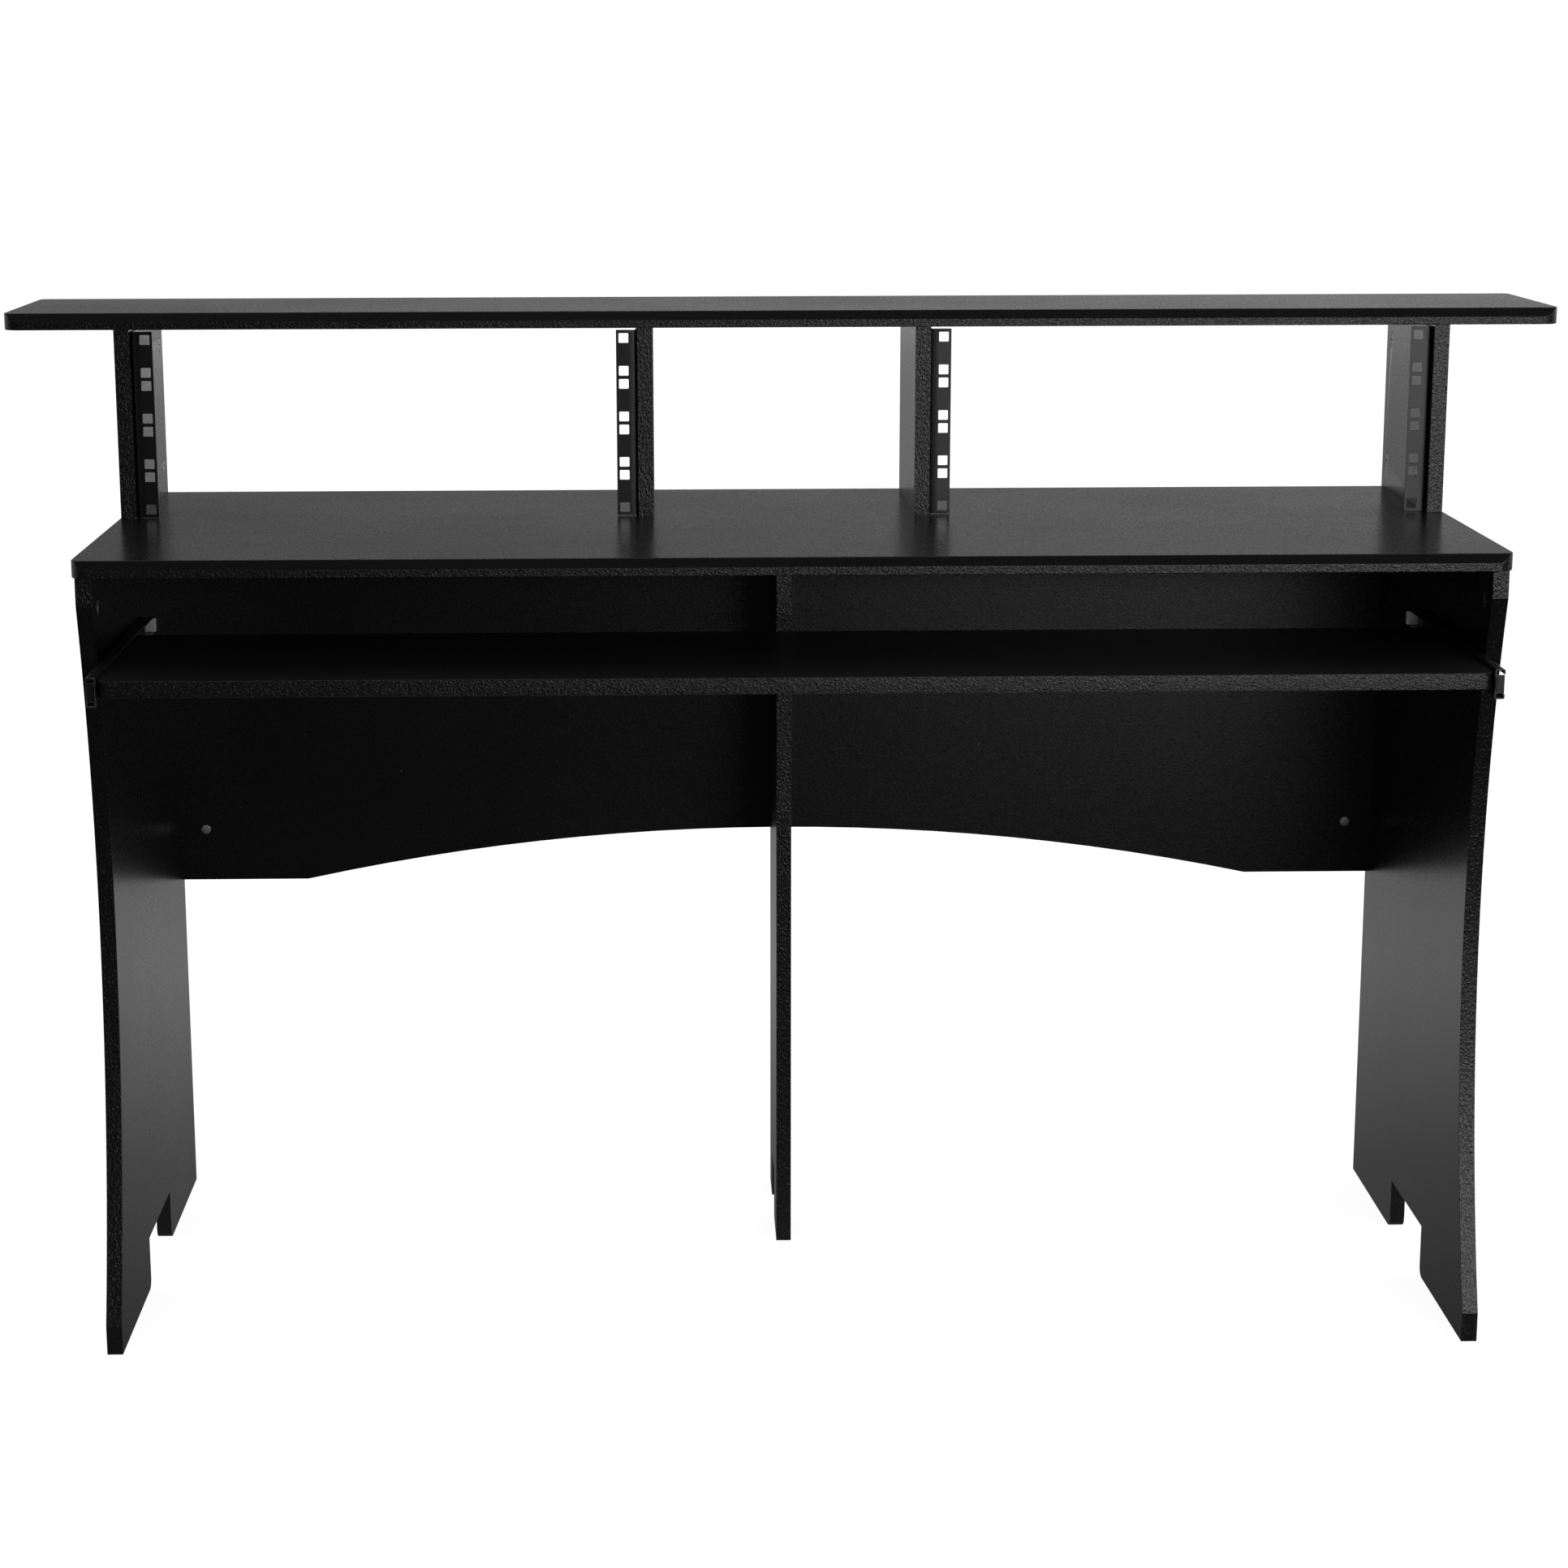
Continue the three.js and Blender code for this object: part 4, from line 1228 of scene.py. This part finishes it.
class DESK_OT_cam_locks(Maker, bpy.types.Operator):
    """Makes the cam locks of uprights and legs, with the uprights' front ones that the frame leaves out"""
    bl_idname = "desk.cam_locks"
    bl_label = "Cam locks"

    def make(self, scene):
        values = {"Radius": CAM_RADIUS, "Height": CAM_DEPTH - 1.2 * MM, "Crown": 0.6 * MM,
                  "Crown Reach": 0.08, "Recess Depth": 1.6 * MM, "Bar Width": 1.7 * MM,
                  "Bar Length": 6.4 * MM, "Second Bar Length": 6.4 * MM, "Groove Radius": 5.4 * MM,
                  "Groove Width": 0.9 * MM, "Notch Length": 3.2 * MM, "Notch Width": 2.2 * MM}
        cams = [(f"cam_lock_{name}_{end}", upright_facing(name)) for name in UPRIGHTS for end in ENDS]
        cams += [(f"cam_lock_leg_{side}_{end}", inward(side)) for side in SIDES for end in LENGTHWISE]
        cams.append(("cam_lock_centre_leg", RIGHT))
        front = [spot for name in UPRIGHTS for spot in front_cam_spots(name)]
        heads("cam_locks", "Cam locks", cams, values, zinc_plate(), "zinc", front)


# The studio

WHITE = (1, 1, 1, 1)
# Each lamp's place, what it faces, and its width and height
KEY_LAMP = ((2.2, -4.4, 1.45), (2.2, 0.0, 1.45), (3.4, 2.2))
TOP_LAMP = ((0.0, 0.0, 3.0), (0.0, 0.05, 0.8), (3.0, 1.6))
FLOOR_RADIUS = 14
FLOOR_SIDES = 64
FLOOR_GLOW = 0.93
FLOOR_PALE = (0.22, 0.22, 0.22, 1)
FLOOR_GREY = (0.4, 0.4, 0.4, 1)
# Where the floor's brightness in gloss changes behind the desk's middle, and by what share of its level: dim
# near the desk as a painted shadow of the desk, and paler farther behind as painted backdrop light
FLOOR_STEPS = ((-0.5, 0.25, 0.4), (0.3, 1.2, 0.6), (1.2, 2.4, -0.25))
# The backdrop in gloss: the rise, as a share of the way looked, of its horizon, and of each halving above
HORIZON = 0.035
BACKDROP_HALF = 0.032
# The same shares to the side, back and up between which it changes, and how bright it is left and right
SIDEWAYS, DIM_LEFT, BRIGHT_RIGHT = (-0.17, 0.2), 0.72, 1.22
BACKWARDS = (-0.3, 0.5)
UPWARDS = (0.4, 0.75)


class DESK_OT_studio(Maker, bpy.types.Operator):
    """Makes the pale floor, the soft lights, the surroundings and the photograph's camera"""
    bl_idname = "desk.studio"
    bl_label = "Studio"

    def make(self, scene):
        levels = scene.studio_levels
        self.floor(levels)
        self.world(scene, levels)
        self.lamp("Key", KEY_LAMP, levels.key_power)
        self.lamp("Top", TOP_LAMP, levels.top_power)
        self.camera(scene)
        scene.view_settings.view_transform = "Standard"

    def by_ray(self, tree, camera, glossy, diffuse):
        """One shader for camera and transmission rays, one for glossy rays and one for the others."""
        seen = add_node(tree, "ShaderNodeLightPath").outputs
        shown = maths(tree, "MAXIMUM", seen["Is Camera Ray"], seen["Is Transmission Ray"])
        gloss = add_node(tree, "ShaderNodeMixShader", {
            0: seen["Is Glossy Ray"], 1: diffuse.outputs[0], 2: glossy.outputs[0]}).outputs[0]
        return add_node(tree, "ShaderNodeMixShader", {0: shown, 1: gloss, 2: camera.outputs[0]}).outputs[0]

    def floor(self, levels):
        """White to the camera with a faint shadow, and in gloss a glow that is dim near the desk, a painted
        shadow of the desk, and pale far behind it, painted backdrop light.
        """
        shape = bmesh.new()
        bmesh.ops.create_circle(shape, cap_ends=True, segments=FLOOR_SIDES, radius=FLOOR_RADIUS)
        piece = new_piece("floor", shape)
        material = bpy.data.materials.new("Studio floor")
        material.use_nodes = True
        tree = material.node_tree
        tree.nodes.remove(tree.nodes["Principled BSDF"])
        glow = add_node(tree, "ShaderNodeEmission", {"Color": WHITE, "Strength": FLOOR_GLOW}).outputs[0]
        pale = add_node(tree, "ShaderNodeBsdfDiffuse", {"Color": FLOOR_PALE}).outputs[0]
        shown = add_node(tree, "ShaderNodeAddShader", {0: glow, 1: pale})
        place = add_node(tree, "ShaderNodeTexCoord").outputs["Object"]
        behind = add_node(tree, "ShaderNodeSeparateXYZ", {0: place}).outputs["Y"]
        level, base = 0.0, levels.front
        for start, end, share in FLOOR_STEPS:
            level = maths(tree, "ADD", level, ramp(tree, behind, start, end, base, share * levels.floor))
            base = 0.0
        gloss = add_node(tree, "ShaderNodeEmission", {"Color": WHITE, "Strength": level})
        grey = add_node(tree, "ShaderNodeBsdfDiffuse", {"Color": FLOOR_GREY})
        tree.links.new(self.by_ray(tree, shown, gloss, grey), tree.nodes["Material Output"].inputs["Surface"])
        piece.data.materials.append(material)

    def world(self, scene, levels):
        """White to the camera, in gloss a pale backdrop behind and a dark room in front, and else plain."""
        world = bpy.data.worlds.new("Studio")
        world.use_nodes = True
        tree = world.node_tree
        tree.nodes.clear()
        place = add_node(tree, "ShaderNodeTexCoord").outputs["Generated"]
        way = add_node(tree, "ShaderNodeSeparateXYZ", {0: place}).outputs
        above = maths(tree, "MAXIMUM", maths(tree, "SUBTRACT", way["Z"], HORIZON), 0.0)
        halved = maths(tree, "POWER", 0.5, maths(tree, "DIVIDE", above, BACKDROP_HALF))
        across = ramp(tree, way["X"], *SIDEWAYS, DIM_LEFT, BRIGHT_RIGHT)
        overhead = ramp(tree, way["Z"], *UPWARDS, 0.0, levels.overhead)
        pale = maths(tree, "ADD", times(tree, times(tree, halved, levels.backdrop), across), overhead)
        back = times(tree, pale, ramp(tree, way["Y"], *BACKWARDS))
        level = maths(tree, "ADD", back, levels.front)
        white, gloss, plain = (add_node(tree, "ShaderNodeBackground", {"Color": WHITE, "Strength": strength})
                               for strength in (1.0, level, levels.ambient))
        add_node(tree, "ShaderNodeOutputWorld", {"Surface": self.by_ray(tree, white, gloss, plain)})
        scene.world = world

    def lamp(self, name, seat, power):
        place, target, size = seat
        data = bpy.data.lights.new(name, "AREA")
        data.shape = "RECTANGLE"
        data.size, data.size_y = size
        data.energy = power
        lamp = bpy.data.objects.new(name, data)
        lamp.visible_camera = False
        lamp.location = place
        lamp.rotation_euler = (Vector(target) - Vector(place)).to_track_quat("-Z", "Y").to_euler()
        bpy.context.scene.collection.objects.link(lamp)


    def camera(self, scene):
        """The photograph's camera, from its place, its three angles and its image centre."""
        data = bpy.data.cameras.new("Photo camera")
        data.sensor_width = SENSOR
        data.lens = FOCAL_PIXELS / IMAGE_PIXELS * SENSOR
        data.shift_x = (IMAGE_PIXELS / 2 - CENTRE_PIXELS[0]) / IMAGE_PIXELS
        data.shift_y = (CENTRE_PIXELS[1] - IMAGE_PIXELS / 2) / IMAGE_PIXELS
        ahead = Vector((math.sin(CAMERA_YAW) * math.cos(CAMERA_PITCH),
                        math.cos(CAMERA_YAW) * math.cos(CAMERA_PITCH), math.sin(CAMERA_PITCH)))
        level = Vector((math.cos(CAMERA_YAW), -math.sin(CAMERA_YAW), 0))
        above = level.cross(ahead)
        right = level * math.cos(CAMERA_ROLL) + above * math.sin(CAMERA_ROLL)
        up = above * math.cos(CAMERA_ROLL) - level * math.sin(CAMERA_ROLL)
        turn = Matrix((right, up, -ahead)).transposed().to_4x4()
        camera = bpy.data.objects.new("Photo camera", data)
        camera.matrix_world = Matrix.Translation(CAMERA_PLACE) @ turn
        scene.collection.objects.link(camera)
        scene.camera = camera


OPERATORS = (
    DESK_OT_studio, DESK_OT_desktop, DESK_OT_shelf, DESK_OT_side_legs, DESK_OT_centre_leg,
    DESK_OT_modesty_panel, DESK_OT_uprights, DESK_OT_keyboard_tray, DESK_OT_rack_rails, DESK_OT_slides,
    DESK_OT_ball_cages, DESK_OT_slide_stops, DESK_OT_screws, DESK_OT_panel_bolts, DESK_OT_barrel_nuts,
    DESK_OT_cam_locks,
)


class DESK_PT_panel(bpy.types.Panel):
    """Lists the desk's pieces, sizes and colours"""
    bl_idname = "DESK_PT_panel"
    bl_label = "Studio desk"
    bl_space_type = "VIEW_3D"
    bl_region_type = "UI"
    bl_category = "Studio desk"

    def draw(self, context):
        for group in (context.scene.desk_sizes, context.scene.desk_colours, context.scene.studio_levels):
            column = self.layout.column(align=True)
            for key in group.__annotations__:
                column.prop(group, key)
        for operator in OPERATORS:
            self.layout.operator(operator.bl_idname)


GROUPS = (DeskSizes, DeskColours, StudioLevels)


def register():
    for made in GROUPS + OPERATORS + (DESK_PT_panel,):
        bpy.utils.register_class(made)
    bpy.types.Scene.desk_sizes = PointerProperty(type=DeskSizes)
    bpy.types.Scene.desk_colours = PointerProperty(type=DeskColours)
    bpy.types.Scene.studio_levels = PointerProperty(type=StudioLevels)


def unregister():
    del bpy.types.Scene.desk_sizes
    del bpy.types.Scene.desk_colours
    del bpy.types.Scene.studio_levels
    for made in reversed(GROUPS + OPERATORS + (DESK_PT_panel,)):
        bpy.utils.unregister_class(made)


def main():
    register()
    for operator in OPERATORS:
        area, name = operator.bl_idname.split(".")
        getattr(getattr(bpy.ops, area), name)()


if __name__ == "__main__":
    main()
